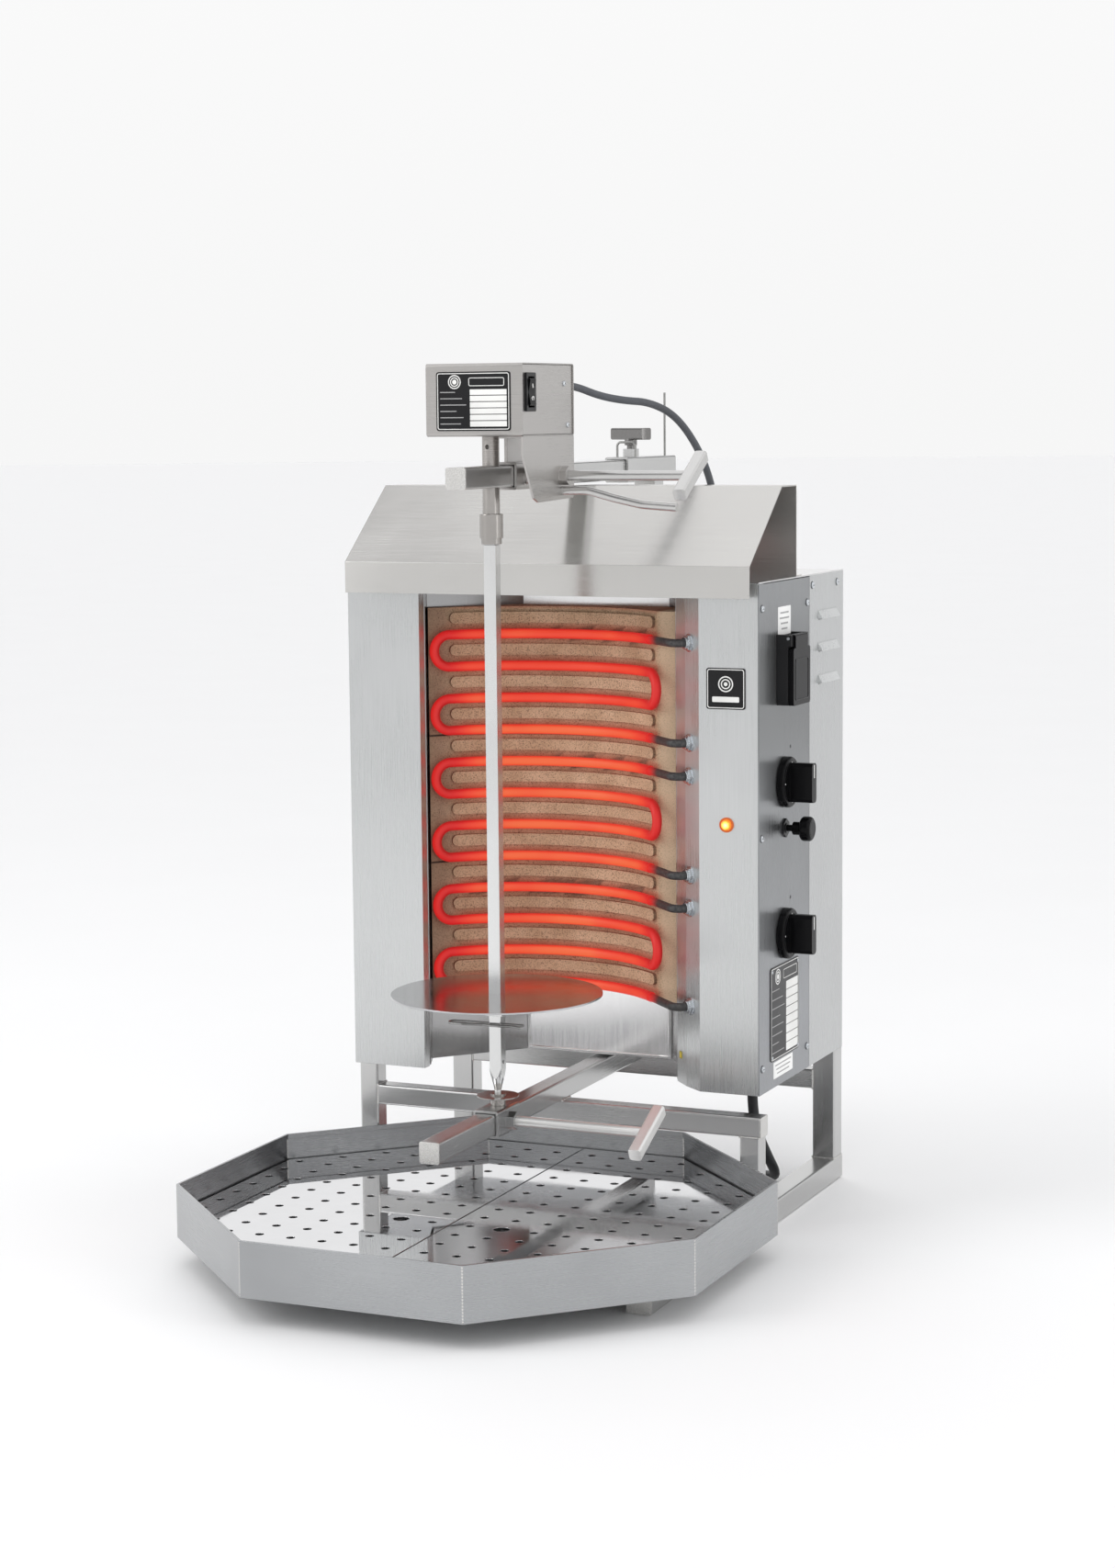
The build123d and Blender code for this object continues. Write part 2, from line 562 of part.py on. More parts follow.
def octagon(flats):
    """A regular octagon with sides along X and Y, round the pan's middle."""
    return Pos(0, PAN_Y) * Rot(0, 0, 22.5) * RegularPolygon(flats / 2 / math.cos(math.radians(22.5)), 8)


def drip_pan():
    """The octagonal tray with a doubled rim."""
    rim = 6.0
    tray = extrude(Pos(0, 0, PAN_BOTTOM) * octagon(PAN_FLATS), amount=PAN_HEIGHT)
    tray -= extrude(Pos(0, 0, PAN_BOTTOM + SHEET) * octagon(PAN_FLATS - 2 * SHEET), amount=PAN_HEIGHT)
    edge = octagon(PAN_FLATS - SHEET) - octagon(PAN_FLATS - 4 * SHEET)
    return tray + extrude(Pos(0, 0, PAN_BOTTOM + PAN_HEIGHT - rim) * edge, amount=rim)


def pan_insert(side):
    """One half of the perforated plate that covers the pan, on folded feet."""
    plate = extrude(Pos(0, 0, INSERT_TOP - SHEET) * octagon(PAN_FLATS - 10), amount=SHEET)
    keep = block(1, 400, -600, 300, 0, 200)
    floor = PAN_BOTTOM + SHEET
    plate = plate & keep
    plate += block(1, 2.5, PAN_Y - 300, PAN_Y + 300, INSERT_TOP - 10, INSERT_TOP)
    for x, y in ((40, -285), (40, 255), (285, -80), (285, 80)):
        plate += block(x, x + SHEET, PAN_Y + y, PAN_Y + y + 30, floor, INSERT_TOP)
    holes = []
    inner = (PAN_FLATS - 10) / 2
    for i in range(8):
        for j in range(-8, 9):
            x, dy = 24 + HOLE_PITCH * i, 10 + HOLE_PITCH * j
            fits = max(x, abs(dy), (x + abs(dy)) / math.sqrt(2)) < inner - 12
            finger = (i, j) == (1, -2)
            if fits:
                holes.append(Pos(x, PAN_Y + dy, INSERT_TOP) * Cylinder(9.5 if finger else 5, 10))
    plate -= holes
    return plate if side > 0 else mirror(plate, about=Plane.YZ)


# ---------------------------------------------------------------- lower carriage, spit and disc

def lower_carriage():
    """The sleeve that slides on the lower arm, with the nut of its clamp screw."""
    half = BEAM / 2 + SLEEVE_GAP + SLEEVE_WALL
    low = LOWER_ARM_BOTTOM - SLEEVE_GAP - SLEEVE_WALL
    y0, y1 = LOWER_SLEEVE_Y - SLEEVE_LENGTH / 2, LOWER_SLEEVE_Y + SLEEVE_LENGTH / 2
    sleeve = square_tube(-half, half, y0, y1, low, low + 2 * half, Axis.Y, wall=SLEEVE_WALL, corner=3)
    z = low + half
    sleeve += hexagon((half - 1, LOWER_SLEEVE_Y, z), (half + 11, LOWER_SLEEVE_Y, z), 19)
    return sleeve - rod((half - 8, LOWER_SLEEVE_Y, z), (half + 20, LOWER_SLEEVE_Y, z), 6.05)


CUP_BOTTOM = LOWER_ARM_BOTTOM + BEAM + SLEEVE_GAP + SLEEVE_WALL


def lower_bearing_cup():
    """The cup that the spit's point turns in, with its drip disc."""
    cup = rod((0, SPIT_Y, CUP_BOTTOM), (0, SPIT_Y, CUP_BOTTOM + 14), 9)
    cup += rod((0, SPIT_Y, CUP_BOTTOM + 10.5), (0, SPIT_Y, CUP_BOTTOM + 12), 25)
    return cup - rod((0, SPIT_Y, CUP_BOTTOM + 4), (0, SPIT_Y, CUP_BOTTOM + 20), 4.05)


def lower_clamp_screw():
    z = LOWER_ARM_BOTTOM + BEAM / 2
    stem = rod((BEAM / 2 + 0.1, LOWER_SLEEVE_Y, z), (190, LOWER_SLEEVE_Y, z), 6)
    bar = Pos(192, LOWER_SLEEVE_Y, z) * Rot(0, 0, 90) * clamp_bar(86)
    return stem + bar.rotate(Axis((192, LOWER_SLEEVE_Y, z), (1, 0, 0)), 25)


SPIT_TOP = 835.0        # shoulder under the square tenon that the spindle drives
TENON = 12.0
CLIP_Z = 271.0
STOP_Z = 286.0


def spit_bar():
    """The square spit: point and journal at the bottom, square end at the top, holes for its clip."""
    flat_bottom = 218.0
    half = SPIT / 2
    bar = block(-half, half, SPIT_Y - half, SPIT_Y + half, flat_bottom, SPIT_TOP)
    bar = chamfer(bar.edges().filter_by(Axis.Z), 0.8)
    tip = Pos(0, SPIT_Y, (flat_bottom + 192) / 2) * Rot(180, 0, 0) * Cone(half * 1.4, 4, flat_bottom - 192)
    taper = tip & block(-half, half, SPIT_Y - half, SPIT_Y + half, 192, flat_bottom)
    journal = rod((0, SPIT_Y, CUP_BOTTOM + 4), (0, SPIT_Y, 193), 4)
    stop = block(-11, 11, SPIT_Y - 11, SPIT_Y + 11, STOP_Z - 4, STOP_Z)
    tenon = block(-TENON / 2, TENON / 2, SPIT_Y - TENON / 2, SPIT_Y + TENON / 2, SPIT_TOP, SPIT_TOP + 27)
    bar = bar + taper + journal + stop + tenon
    for z in (CLIP_Z, 226):
        bar -= rod((-20, SPIT_Y, z), (20, SPIT_Y, z), 2.2)
    return bar


def meat_disc():
    """The round plate that carries the meat, on a square hub that slides on the spit."""
    hub = block(-11, 11, SPIT_Y - 11, SPIT_Y + 11, STOP_Z + 0.05, 306)
    plate = rod((0, SPIT_Y, 306), (0, SPIT_Y, 308), 125)
    hole = SPIT / 2 + 0.1
    return hub + plate - block(-hole, hole, SPIT_Y - hole, SPIT_Y + hole, 200, 400)


def spit_clip():
    """The spring clip through the spit: one straight leg, one bowed leg in front."""
    y = SPIT_Y
    points = [(34, y, CLIP_Z), (-40, y, CLIP_Z), (-58, y - 1, CLIP_Z), (-58, y - 14, CLIP_Z),
              (-38, y - 15.5, CLIP_Z), (-14, y - 9.6, CLIP_Z), (-3, y - 12.5, CLIP_Z), (8, y - 12.5, CLIP_Z),
              (23, y - 9.6, CLIP_Z), (37, y - 14, CLIP_Z)]
    return wire(points, 1.6, [12, 5.5, 5.5, 12, 8, 8, 8, 8])


# ---------------------------------------------------------------- upper carriage and drive

def upper_carriage():
    """The sleeve on the upper arm, the bracket plate beside it and the spacer tube between them."""
    half = BEAM / 2 + SLEEVE_GAP + SLEEVE_WALL
    low = UPPER_ARM_BOTTOM - SLEEVE_GAP - SLEEVE_WALL
    z = low + half
    y = UPPER_SLEEVE_Y
    sleeve = square_tube(-half, half, y - SLEEVE_LENGTH / 2, y + SLEEVE_LENGTH / 2, low, low + 2 * half,
                         Axis.Y, wall=SLEEVE_WALL, corner=3)
    outline = Polyline((MOTOR_FRONT + 1, MOTOR_BOTTOM), (MOTOR_FRONT + 1, 937), (-93, 889), (-80, 884),
                       (MOTOR_REAR - 4, 887), (MOTOR_REAR - 1, 892), (MOTOR_REAR - 1, MOTOR_BOTTOM),
                       close=True)
    plane = Plane((MOTOR_HALF - 2.5, 0, 0), x_dir=(0, 1, 0), z_dir=(1, 0, 0))
    plate = extrude(plane * make_face(outline), amount=2.5)
    plate = fillet(plate.edges().filter_by(Axis.X).group_by(Axis.Z)[0], 6)
    spacer = rod((half - 1, y, z), (MOTOR_HALF - 1, y, z), 10)
    nut = hexagon((MOTOR_HALF - 0.5, y, z), (MOTOR_HALF + 9, y, z), 19)
    web = block(-2, 2, y - 25, y + 25, low + 2 * half - 1, MOTOR_BOTTOM)
    lug = block(MOTOR_HALF - 40, MOTOR_HALF - 1, -100, 15, MOTOR_BOTTOM - 2.5, MOTOR_BOTTOM)
    solid = sleeve + plate + spacer + nut + web + lug
    return solid - rod((half - 8, y, z), (MOTOR_HALF + 20, y, z), 6.05)


def upper_clamp_screw():
    z = UPPER_ARM_BOTTOM + BEAM / 2
    stem = rod((BEAM / 2 + 0.1, UPPER_SLEEVE_Y, z), (219, UPPER_SLEEVE_Y, z), 6)
    bar = Pos(221, UPPER_SLEEVE_Y, z) * Rot(0, 0, 90) * clamp_bar(84)
    return stem + bar.rotate(Axis((221, UPPER_SLEEVE_Y, z), (1, 0, 0)), 31)


def steady_handle():
    """The bent grip rod welded under the clamp nut."""
    y = UPPER_SLEEVE_Y
    points = [(MOTOR_HALF, y, 896), (94, y, 896), (126, y, 887.5), (161, y, 880), (204, y, 877)]
    return wire(points, 5, [40, 60, 60])


def motor_case():
    """The folded motor case, open on the right for its cover, with the spindle hole below."""
    case = block(-MOTOR_HALF, MOTOR_HALF, MOTOR_FRONT, MOTOR_REAR, MOTOR_BOTTOM, MOTOR_TOP)
    case = fillet(case.edges().filter_by(Axis.X), 4)
    case -= block(-MOTOR_HALF + SHEET, MOTOR_HALF + 5, MOTOR_FRONT + SHEET, MOTOR_REAR - SHEET,
                  MOTOR_BOTTOM + SHEET, MOTOR_TOP - SHEET)
    case -= Pos(0, SPIT_Y, MOTOR_BOTTOM) * Cylinder(13, 10)
    return case - rod((46, MOTOR_REAR - 5, 1018), (46, MOTOR_REAR + 5, 1018), 5.5)


def motor_case_cover():
    """The right cover of the motor case, set in a little, cut for the switch."""
    cover = block(MOTOR_HALF - 3, MOTOR_HALF - 1.5, MOTOR_FRONT + 1.8, MOTOR_REAR - 1.8,
                  MOTOR_BOTTOM + 1.8, MOTOR_TOP - 1.8)
    return cover - block(MOTOR_HALF - 8, MOTOR_HALF, -112, -90, 990, 1030)


def gearmotor():
    """The geared motor on the case's floor, with its output boss."""
    floor = MOTOR_BOTTOM + SHEET
    boxy = rounded(-32, 32, SPIT_Y - 30, SPIT_Y + 30, floor + 8, floor + 34, Axis.Z, 6)
    motor = Pos(0, SPIT_Y + 6, floor + 53) * Cylinder(24, 38)
    feet = block(-40, 40, SPIT_Y - 36, SPIT_Y - 26, floor, floor + 9)
    feet += block(-40, 40, SPIT_Y + 26, SPIT_Y + 36, floor, floor + 9)
    solid = boxy + motor + feet
    return solid - Pos(0, SPIT_Y, floor + 16) * Cylinder(10.05, 24)


def drive_spindle():
    """The round spindle from the gearmotor down through the arm, with a cross hole and a square socket."""
    bar = rod((0, SPIT_Y, 838), (0, SPIT_Y, MOTOR_BOTTOM + 24), 10)
    bar -= rod((0, SPIT_Y - 20, 948), (0, SPIT_Y + 20, 948), 2.5)
    hole = TENON / 2 + 0.1
    return bar - block(-hole, hole, SPIT_Y - hole, SPIT_Y + hole, 800, SPIT_TOP + 30)


def coupling_collar():
    """The sleeve that slides up the spindle to free the spit."""
    collar = rod((0, SPIT_Y, 843), (0, SPIT_Y, 871), 13.5) + rod((0, SPIT_Y, 836), (0, SPIT_Y, 844), 11.8)
    collar = fillet(collar.edges().filter_by(GeomType.CIRCLE).sort_by(Axis.Z)[-1:], 1)
    return collar - rod((0, SPIT_Y, 830), (0, SPIT_Y, 880), 10.05)


SWITCH_Z = 1010.0
SWITCH_Y = -101.0


def motor_switch():
    """The frame of the three-way rocker switch."""
    x = MOTOR_HALF - 1.5
    frame = rounded(x, x + 3, SWITCH_Y - 13, SWITCH_Y + 13, SWITCH_Z - 22, SWITCH_Z + 22, Axis.X, 2)
    frame += block(x - 18, x + 1, SWITCH_Y - 10.5, SWITCH_Y + 10.5, SWITCH_Z - 19.5, SWITCH_Z + 19.5)
    return frame - block(x - 14, x + 5, SWITCH_Y - 8.5, SWITCH_Y + 8.5, SWITCH_Z - 17.5, SWITCH_Z + 17.5)


def motor_rocker():
    """The rocker of the switch, pivoted behind its face."""
    x = MOTOR_HALF - 1.5
    outline = Polyline((x - 8, SWITCH_Z - 8), (x + 4, SWITCH_Z - 15.5), (x + 5.5, SWITCH_Z - 14),
                       (x + 3.2, SWITCH_Z), (x + 5.5, SWITCH_Z + 14), (x + 4, SWITCH_Z + 15.5),
                       (x - 8, SWITCH_Z + 8), close=True)
    face = Plane((0, SWITCH_Y + 8, 0), x_dir=(1, 0, 0), z_dir=(0, -1, 0)) * make_face(outline)
    pivots = rod((x - 3, SWITCH_Y - 8.4, SWITCH_Z), (x - 3, SWITCH_Y + 8.4, SWITCH_Z), 2)
    return extrude(face, amount=16) + pivots


# ---------------------------------------------------------------- cords

MOTOR_CORD = [(46, MOTOR_REAR, 1018), (49, 52, 1018), (66, 86, 1006), (84, 122, 1000), (102, 160, 998),
              (120, 200, 982), (134, 238, 944), (143, 262, 900), (146, 272, 856), (146, 272, 802.5)]
MAINS_CABLE = [(212, 218, 152), (212, 218, 122), (216, 228, 88), (221, 250, 55), (220, 282, 28),
               (205, 316, 12), (175.5, 343, 7), (136, 354, 6.5), (92, 361, 6.5), (46, 362.5, 6.5)]
CABLE_TAIL = [(-30, 362.5, 21), (-57, 362.5, 31), (-84, 362.5, 31)]
COIL_X, COIL_Y = 4.0, 290.0
COIL_MIDDLE = 72.0      # radius at the middle of the coil's turns


def motor_cord():
    return cord("motor_cord", MOTOR_CORD, CORD_RADIUS)


def mains_cable():
    """The lead from the housing to the coil, and the short tail from the coil to the plug."""
    lead = cord("mains_cable", MAINS_CABLE, CABLE_RADIUS)
    return Compound(children=[lead, cord("mains_cable tail", CABLE_TAIL, CABLE_RADIUS)])


def mains_cable_coil():
    """The outer shape of the wound cable: turns beside and on each other."""
    half = 2 * CABLE_RADIUS
    section = RectangleRounded(2 * half, 4 * CABLE_RADIUS, CABLE_RADIUS - 0.1)
    ring = Plane((COIL_MIDDLE, 0, 2 * CABLE_RADIUS), x_dir=(1, 0, 0), z_dir=(0, -1, 0)) * section
    return Pos(COIL_X, COIL_Y, 0) * revolve(ring, Axis.Z)


def mains_plug():
    """A round five-pin industrial plug lying beside the coil."""
    x, y, z = CABLE_TAIL[-1]
    body = rod((x, y, z), (x - 46, y, z), 20) + rod((x - 40, y, z), (x - 62, y, z), 27)
    body += rod((x - 60, y, z), (x - 72, y, z), 31)
    shell = rod((x - 70, y, z), (x - 112, y, z), 26) - rod((x - 74, y, z), (x - 113, y, z), 23)
    body += shell
    for i in range(5):
        angle = math.radians(90 + 72 * i)
        py, pz = y + 14 * math.cos(angle), z + 14 * math.sin(angle)
        body += rod((x - 73, py, pz), (x - 106, py, pz), 3 if i else 3.5)
    return body


NODES = {
    "foot_rails": foot_rails, "tube_end_caps": tube_end_caps, "front_posts": front_posts,
    "rear_posts": rear_posts, "cross_rails": cross_rails, "lower_arm": lower_arm, "rear_mast": rear_mast,
    "upper_sleeve": upper_sleeve, "top_clamp_screw": top_clamp_screw, "cable_guide_wire": cable_guide_wire,
    "upper_arm": upper_arm, "left_column": left_column, "right_column": right_column,
    "side_cover": side_cover, "rear_cover": rear_cover, "roof_panel": roof_panel, "floor_panel": floor_panel,
    "reflector": reflector, "hood": hood, "insulation_blocks": insulation_blocks,
    "element_ferrules": element_ferrules, "pilot_lamp": pilot_lamp, "front_plates": front_plates,
    "cover_screws": cover_screws, "socket_body": socket_body, "socket_hinge_pin": socket_hinge_pin,
    "socket_lid": socket_lid, "control_switches": control_switches, "pull_knob": pull_knob,
    "terminal_block": terminal_block, "cable_glands": cable_glands, "drip_pan": drip_pan,
    "lower_carriage": lower_carriage, "lower_bearing_cup": lower_bearing_cup,
    "lower_clamp_screw": lower_clamp_screw, "spit_bar": spit_bar, "meat_disc": meat_disc,
    "spit_clip": spit_clip, "upper_carriage": upper_carriage, "upper_clamp_screw": upper_clamp_screw,
    "steady_handle": steady_handle, "motor_case": motor_case, "motor_case_cover": motor_case_cover,
    "gearmotor": gearmotor, "drive_spindle": drive_spindle, "coupling_collar": coupling_collar,
    "motor_switch": motor_switch, "motor_rocker": motor_rocker, "motor_cord": motor_cord,
    "mains_cable": mains_cable, "mains_cable_coil": mains_cable_coil, "mains_plug": mains_plug,
}

for name, make in NODES.items():
    save(name, make())
for place, z in (("upper", UPPER_KNOB_Z), ("lower", LOWER_KNOB_Z)):
    save(f"{place}_zone_knob", zone_knob(z))
for place, side in (("left", -1), ("right", 1)):
    save(f"pan_insert_{place}", pan_insert(side))
for index, place in enumerate(("top", "middle", "bottom")):
    save(f"heating_element_{place}", heating_element(index))
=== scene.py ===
"""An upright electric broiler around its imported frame: finishes, trim, cords, light and camera.

Lengths are in metres, unless a comment says millimetres.
"""
import math

import bmesh
import bpy
from mathutils import Matrix, Vector


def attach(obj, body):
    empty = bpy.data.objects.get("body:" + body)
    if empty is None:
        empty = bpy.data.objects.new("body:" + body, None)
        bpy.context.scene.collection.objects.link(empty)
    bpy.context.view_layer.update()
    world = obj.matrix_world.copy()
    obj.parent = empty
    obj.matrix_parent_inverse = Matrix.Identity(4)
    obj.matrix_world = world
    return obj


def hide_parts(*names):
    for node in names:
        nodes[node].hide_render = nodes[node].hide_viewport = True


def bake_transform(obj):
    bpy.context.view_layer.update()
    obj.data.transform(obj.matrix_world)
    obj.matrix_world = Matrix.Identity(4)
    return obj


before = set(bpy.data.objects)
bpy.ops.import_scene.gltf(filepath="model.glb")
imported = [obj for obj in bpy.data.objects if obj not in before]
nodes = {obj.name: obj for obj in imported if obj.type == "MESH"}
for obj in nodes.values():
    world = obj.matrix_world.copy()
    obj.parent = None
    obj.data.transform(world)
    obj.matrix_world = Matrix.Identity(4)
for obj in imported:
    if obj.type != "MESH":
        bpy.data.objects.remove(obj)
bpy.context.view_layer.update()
scene = bpy.context.scene
scene.view_settings.view_transform = "Standard"


# ---------------------------------------------------------------- material tools

def new_material(name, color, metallic=0.0, roughness=0.5):
    mat = bpy.data.materials.new(name)
    mat.use_nodes = True
    shader = mat.node_tree.nodes["Principled BSDF"]
    shader.inputs["Base Color"].default_value = (*color, 1)
    shader.inputs["Metallic"].default_value = metallic
    shader.inputs["Roughness"].default_value = roughness
    return mat


def shader_of(mat):
    return mat.node_tree.nodes["Principled BSDF"]


def wire(mat, output, target):
    mat.node_tree.links.new(output, target)


def noise(mat, scale, detail=2.0, stretch=(1, 1, 1), rough=0.5):
    """A noise value over the object's own coordinates, stretched along an axis."""
    tree = mat.node_tree.nodes
    place = tree.new("ShaderNodeTexCoord")
    mapping = tree.new("ShaderNodeMapping")
    mapping.inputs["Scale"].default_value = stretch
    texture = tree.new("ShaderNodeTexNoise")
    texture.inputs["Scale"].default_value = scale
    texture.inputs["Detail"].default_value = detail
    texture.inputs["Roughness"].default_value = rough
    wire(mat, place.outputs["Object"], mapping.inputs["Vector"])
    wire(mat, mapping.outputs["Vector"], texture.inputs["Vector"])
    return texture.outputs["Fac"]


def axes(mat):
    """The object's own X, Y and Z as three values."""
    place = mat.node_tree.nodes.new("ShaderNodeTexCoord")
    split = mat.node_tree.nodes.new("ShaderNodeSeparateXYZ")
    wire(mat, place.outputs["Object"], split.inputs["Vector"])
    return split.outputs["X"], split.outputs["Y"], split.outputs["Z"]


def math_node(mat, operation, a, b=None):
    node = mat.node_tree.nodes.new("ShaderNodeMath")
    node.operation = operation
    for socket, value in zip(node.inputs, (a, b)):
        if value is None:
            continue
        if isinstance(value, (int, float)):
            socket.default_value = value
        else:
            wire(mat, value, socket)
    return node.outputs["Value"]


def times(mat, first, *others):
    """The product of two or more values."""
    product = first
    for other in others:
        product = math_node(mat, "MULTIPLY", product, other)
    return product


def distance(mat, a, a_middle, b, b_middle):
    """How far a point lies from a middle, in the plane of two coordinates."""
    squares = [math_node(mat, "POWER", math_node(mat, "SUBTRACT", value, middle), 2.0)
               for value, middle in ((a, a_middle), (b, b_middle))]
    return math_node(mat, "SQRT", math_node(mat, "ADD", *squares))


def remap(mat, value, low, high, to_low=0.0, to_high=1.0):
    node = mat.node_tree.nodes.new("ShaderNodeMapRange")
    node.interpolation_type = "SMOOTHSTEP"
    node.inputs["From Min"].default_value = low
    node.inputs["From Max"].default_value = high
    node.inputs["To Min"].default_value = to_low
    node.inputs["To Max"].default_value = to_high
    wire(mat, value, node.inputs["Value"])
    return node.outputs["Result"]


def ramp(mat, value, stops):
    node = mat.node_tree.nodes.new("ShaderNodeValToRGB")
    elements = node.color_ramp.elements
    while len(elements) < len(stops):
        elements.new(0.5)
    for element, (position, color) in zip(elements, stops):
        element.position = position
        element.color = (*color, 1)
    wire(mat, value, node.inputs["Fac"])
    return node.outputs["Color"]


def mix_color(mat, factor, a, b, blend="MIX"):
    node = mat.node_tree.nodes.new("ShaderNodeMix")
    node.data_type = "RGBA"
    node.blend_type = blend
    if isinstance(factor, (int, float)):
        node.inputs["Factor"].default_value = factor
    else:
        wire(mat, factor, node.inputs["Factor"])
    for socket, value in ((node.inputs[6], a), (node.inputs[7], b)):
        if isinstance(value, tuple):
            socket.default_value = (*value, 1)
        else:
            wire(mat, value, socket)
    return node.outputs[2]


def bump(mat, height, strength, distance, edge=0.0):
    """Surface relief from a height value, with edges rounded by edge metres."""
    node = mat.node_tree.nodes.new("ShaderNodeBump")
    node.inputs["Strength"].default_value = strength
    node.inputs["Distance"].default_value = distance
    wire(mat, height, node.inputs["Height"])
    if edge:
        rounded = mat.node_tree.nodes.new("ShaderNodeBevel")
        rounded.samples = 4
        rounded.inputs["Radius"].default_value = edge
        wire(mat, rounded.outputs["Normal"], node.inputs["Normal"])
    wire(mat, node.outputs["Normal"], shader_of(mat).inputs["Normal"])


HIGHLIGHT_STRETCH = 0.75    # how far brushed steel spreads its highlights
SCRATCH_DEPTH = 0.0002
FOLD_RADIUS = 0.0008        # rounding of sheet and tube edges


def steel(name, tone, roughness, grain, streak=0.05, spread=0.08, smudge=0.10, height=0.05,
          brushed=None, metal=0.92):
    """Brushed stainless steel, whose grain is its scratches per metre along X, Y and Z.

    streak and spread are how much the scratches vary tone and roughness, smudge is how much
    soft clouds darken it, and brushed is the axis that highlights spread around, and their turn.
    """
    mat = new_material(name, tone, metal, roughness)
    lines = noise(mat, 1.0, 4.0, grain, rough=0.7)
    cloud = noise(mat, 5.0, 3.0)
    if brushed:
        axis, turn = brushed
        tangent = mat.node_tree.nodes.new("ShaderNodeTangent")
        tangent.direction_type = "RADIAL"
        tangent.axis = axis
        wire(mat, tangent.outputs["Tangent"], shader_of(mat).inputs["Tangent"])
        shader_of(mat).inputs["Anisotropic"].default_value = HIGHLIGHT_STRETCH
        shader_of(mat).inputs["Anisotropic Rotation"].default_value = turn
    dark = tuple(c * (1 - streak) for c in tone)
    light = tuple(min(1.0, c * (1 + streak)) for c in tone)
    tint = ramp(mat, lines, [(0.32, dark), (0.68, light)])
    shade = ramp(mat, cloud, [(0.3, (1 - smudge,) * 3), (0.7, (1.0,) * 3)])
    wire(mat, mix_color(mat, 1.0, tint, shade, "MULTIPLY"), shader_of(mat).inputs["Base Color"])
    scratch = remap(mat, lines, 0.3, 0.7, roughness - spread / 2, roughness + spread / 2)
    worn = remap(mat, cloud, 0.35, 0.65, -0.03, 0.03)
    wire(mat, math_node(mat, "ADD", scratch, worn), shader_of(mat).inputs["Roughness"])
    bump(mat, lines, height, SCRATCH_DEPTH, FOLD_RADIUS)
    return mat


def tinted(mat, factor, tint):
    """Multiply a steel's colour by a tint where factor is 1."""
    base = shader_of(mat).inputs["Base Color"]
    plain = base.links[0].from_socket
    wire(mat, mix_color(mat, factor, plain, mix_color(mat, 1.0, plain, tint, "MULTIPLY")), base)


def plastic(name, tone, roughness, height=0.12, gloss=0.3):
    """Moulded plastic, paint or print, with a fine grain of a given relief."""
    mat = new_material(name, tone, 0.0, roughness)
    fine = noise(mat, 900.0, 3.0)
    cloud = noise(mat, 14.0, 2.0)
    shade = ramp(mat, cloud, [(0.3, tone), (0.75, tuple(c * 1.25 + 0.001 for c in tone))])
    wire(mat, shade, shader_of(mat).inputs["Base Color"])
    wire(mat, remap(mat, cloud, 0.3, 0.7, roughness - 0.04, roughness + 0.08),
         shader_of(mat).inputs["Roughness"])
    shader_of(mat).inputs["Specular IOR Level"].default_value = gloss
    bump(mat, fine, height, 0.0003, 0.0006)
    return mat


# ---------------------------------------------------------------- materials

ALONG_X, ALONG_Y, ALONG_Z = (12, 1500, 1500), (1500, 12, 1500), (1500, 1500, 12)
AROUND_Z = (12, 12, 1500)
SIDEWAYS, UPWARDS, OVER = ("Z", 0.0), ("Z", 0.25), ("X", 0.0)
SHEET_TONE = (0.62, 0.63, 0.63)
TUBE_TONE = (0.58, 0.58, 0.575)

column_steel = steel("column_steel", SHEET_TONE, 0.30, ALONG_Z, 0.05, brushed=SIDEWAYS)
case_steel = steel("case_steel", (0.46, 0.445, 0.43), 0.28, ALONG_X, 0.04, brushed=OVER)
case_side_steel = steel("case_side_steel", (0.50, 0.485, 0.47), 0.30, ALONG_Y, 0.04)
pan_steel = steel("pan_steel", (0.44, 0.45, 0.46), 0.26, AROUND_Z, 0.03, smudge=0.2, height=0.02,
                  brushed=UPWARDS)
bright_sheet = steel("bright_sheet", (0.80, 0.80, 0.80), 0.18, ALONG_Z, 0.02)
tube_x = steel("tube_along_x", TUBE_TONE, 0.25, ALONG_X, 0.025, 0.04, height=0.02)
tube_y = steel("tube_along_y", TUBE_TONE, 0.23, ALONG_Y, 0.025, 0.04, height=0.02)
tube_z = steel("tube_along_z", TUBE_TONE, 0.25, ALONG_Z, 0.025, 0.04, height=0.02)
spit_steel = steel("spit_steel", (0.76, 0.765, 0.76), 0.20, ALONG_Z, 0.03)
turned_steel = steel("turned_steel", (0.42, 0.40, 0.38), 0.22, AROUND_Z, 0.08, height=0.15)
rod_steel = steel("rod_steel", (0.60, 0.595, 0.585), 0.22, ALONG_X, 0.03)
clamp_steel = steel("clamp_steel", (0.78, 0.775, 0.76), 0.32, ALONG_X, 0.03, metal=0.5)
bar_steel = steel("bar_steel", (0.23, 0.225, 0.22), 0.26, ALONG_X, 0.05)
wire_steel = steel("wire_steel", (0.34, 0.34, 0.33), 0.22, ALONG_Z, 0.05)
mirror_steel = steel("mirror_steel", (0.74, 0.74, 0.75), 0.05, (40, 40, 40), 0.02, 0.03, 0.04, 0.008,
                     metal=1.0)
disc_steel = steel("disc_steel", (0.52, 0.52, 0.53), 0.16, (60, 60, 60), 0.03, 0.05, 0.06, 0.01, metal=1.0)
weld_steel = steel("weld_steel", (0.70, 0.69, 0.67), 0.24, (900, 900, 900), 0.10, 0.12, 0.1, 0.3)
zinc = steel("zinc", (0.64, 0.67, 0.70), 0.18, (300, 300, 300), 0.06, 0.10)
black_gloss = plastic("black_gloss", (0.003, 0.003, 0.0035), 0.11, height=0.01, gloss=0.10)
black_satin = plastic("black_satin", (0.010, 0.010, 0.011), 0.36, height=0.08)
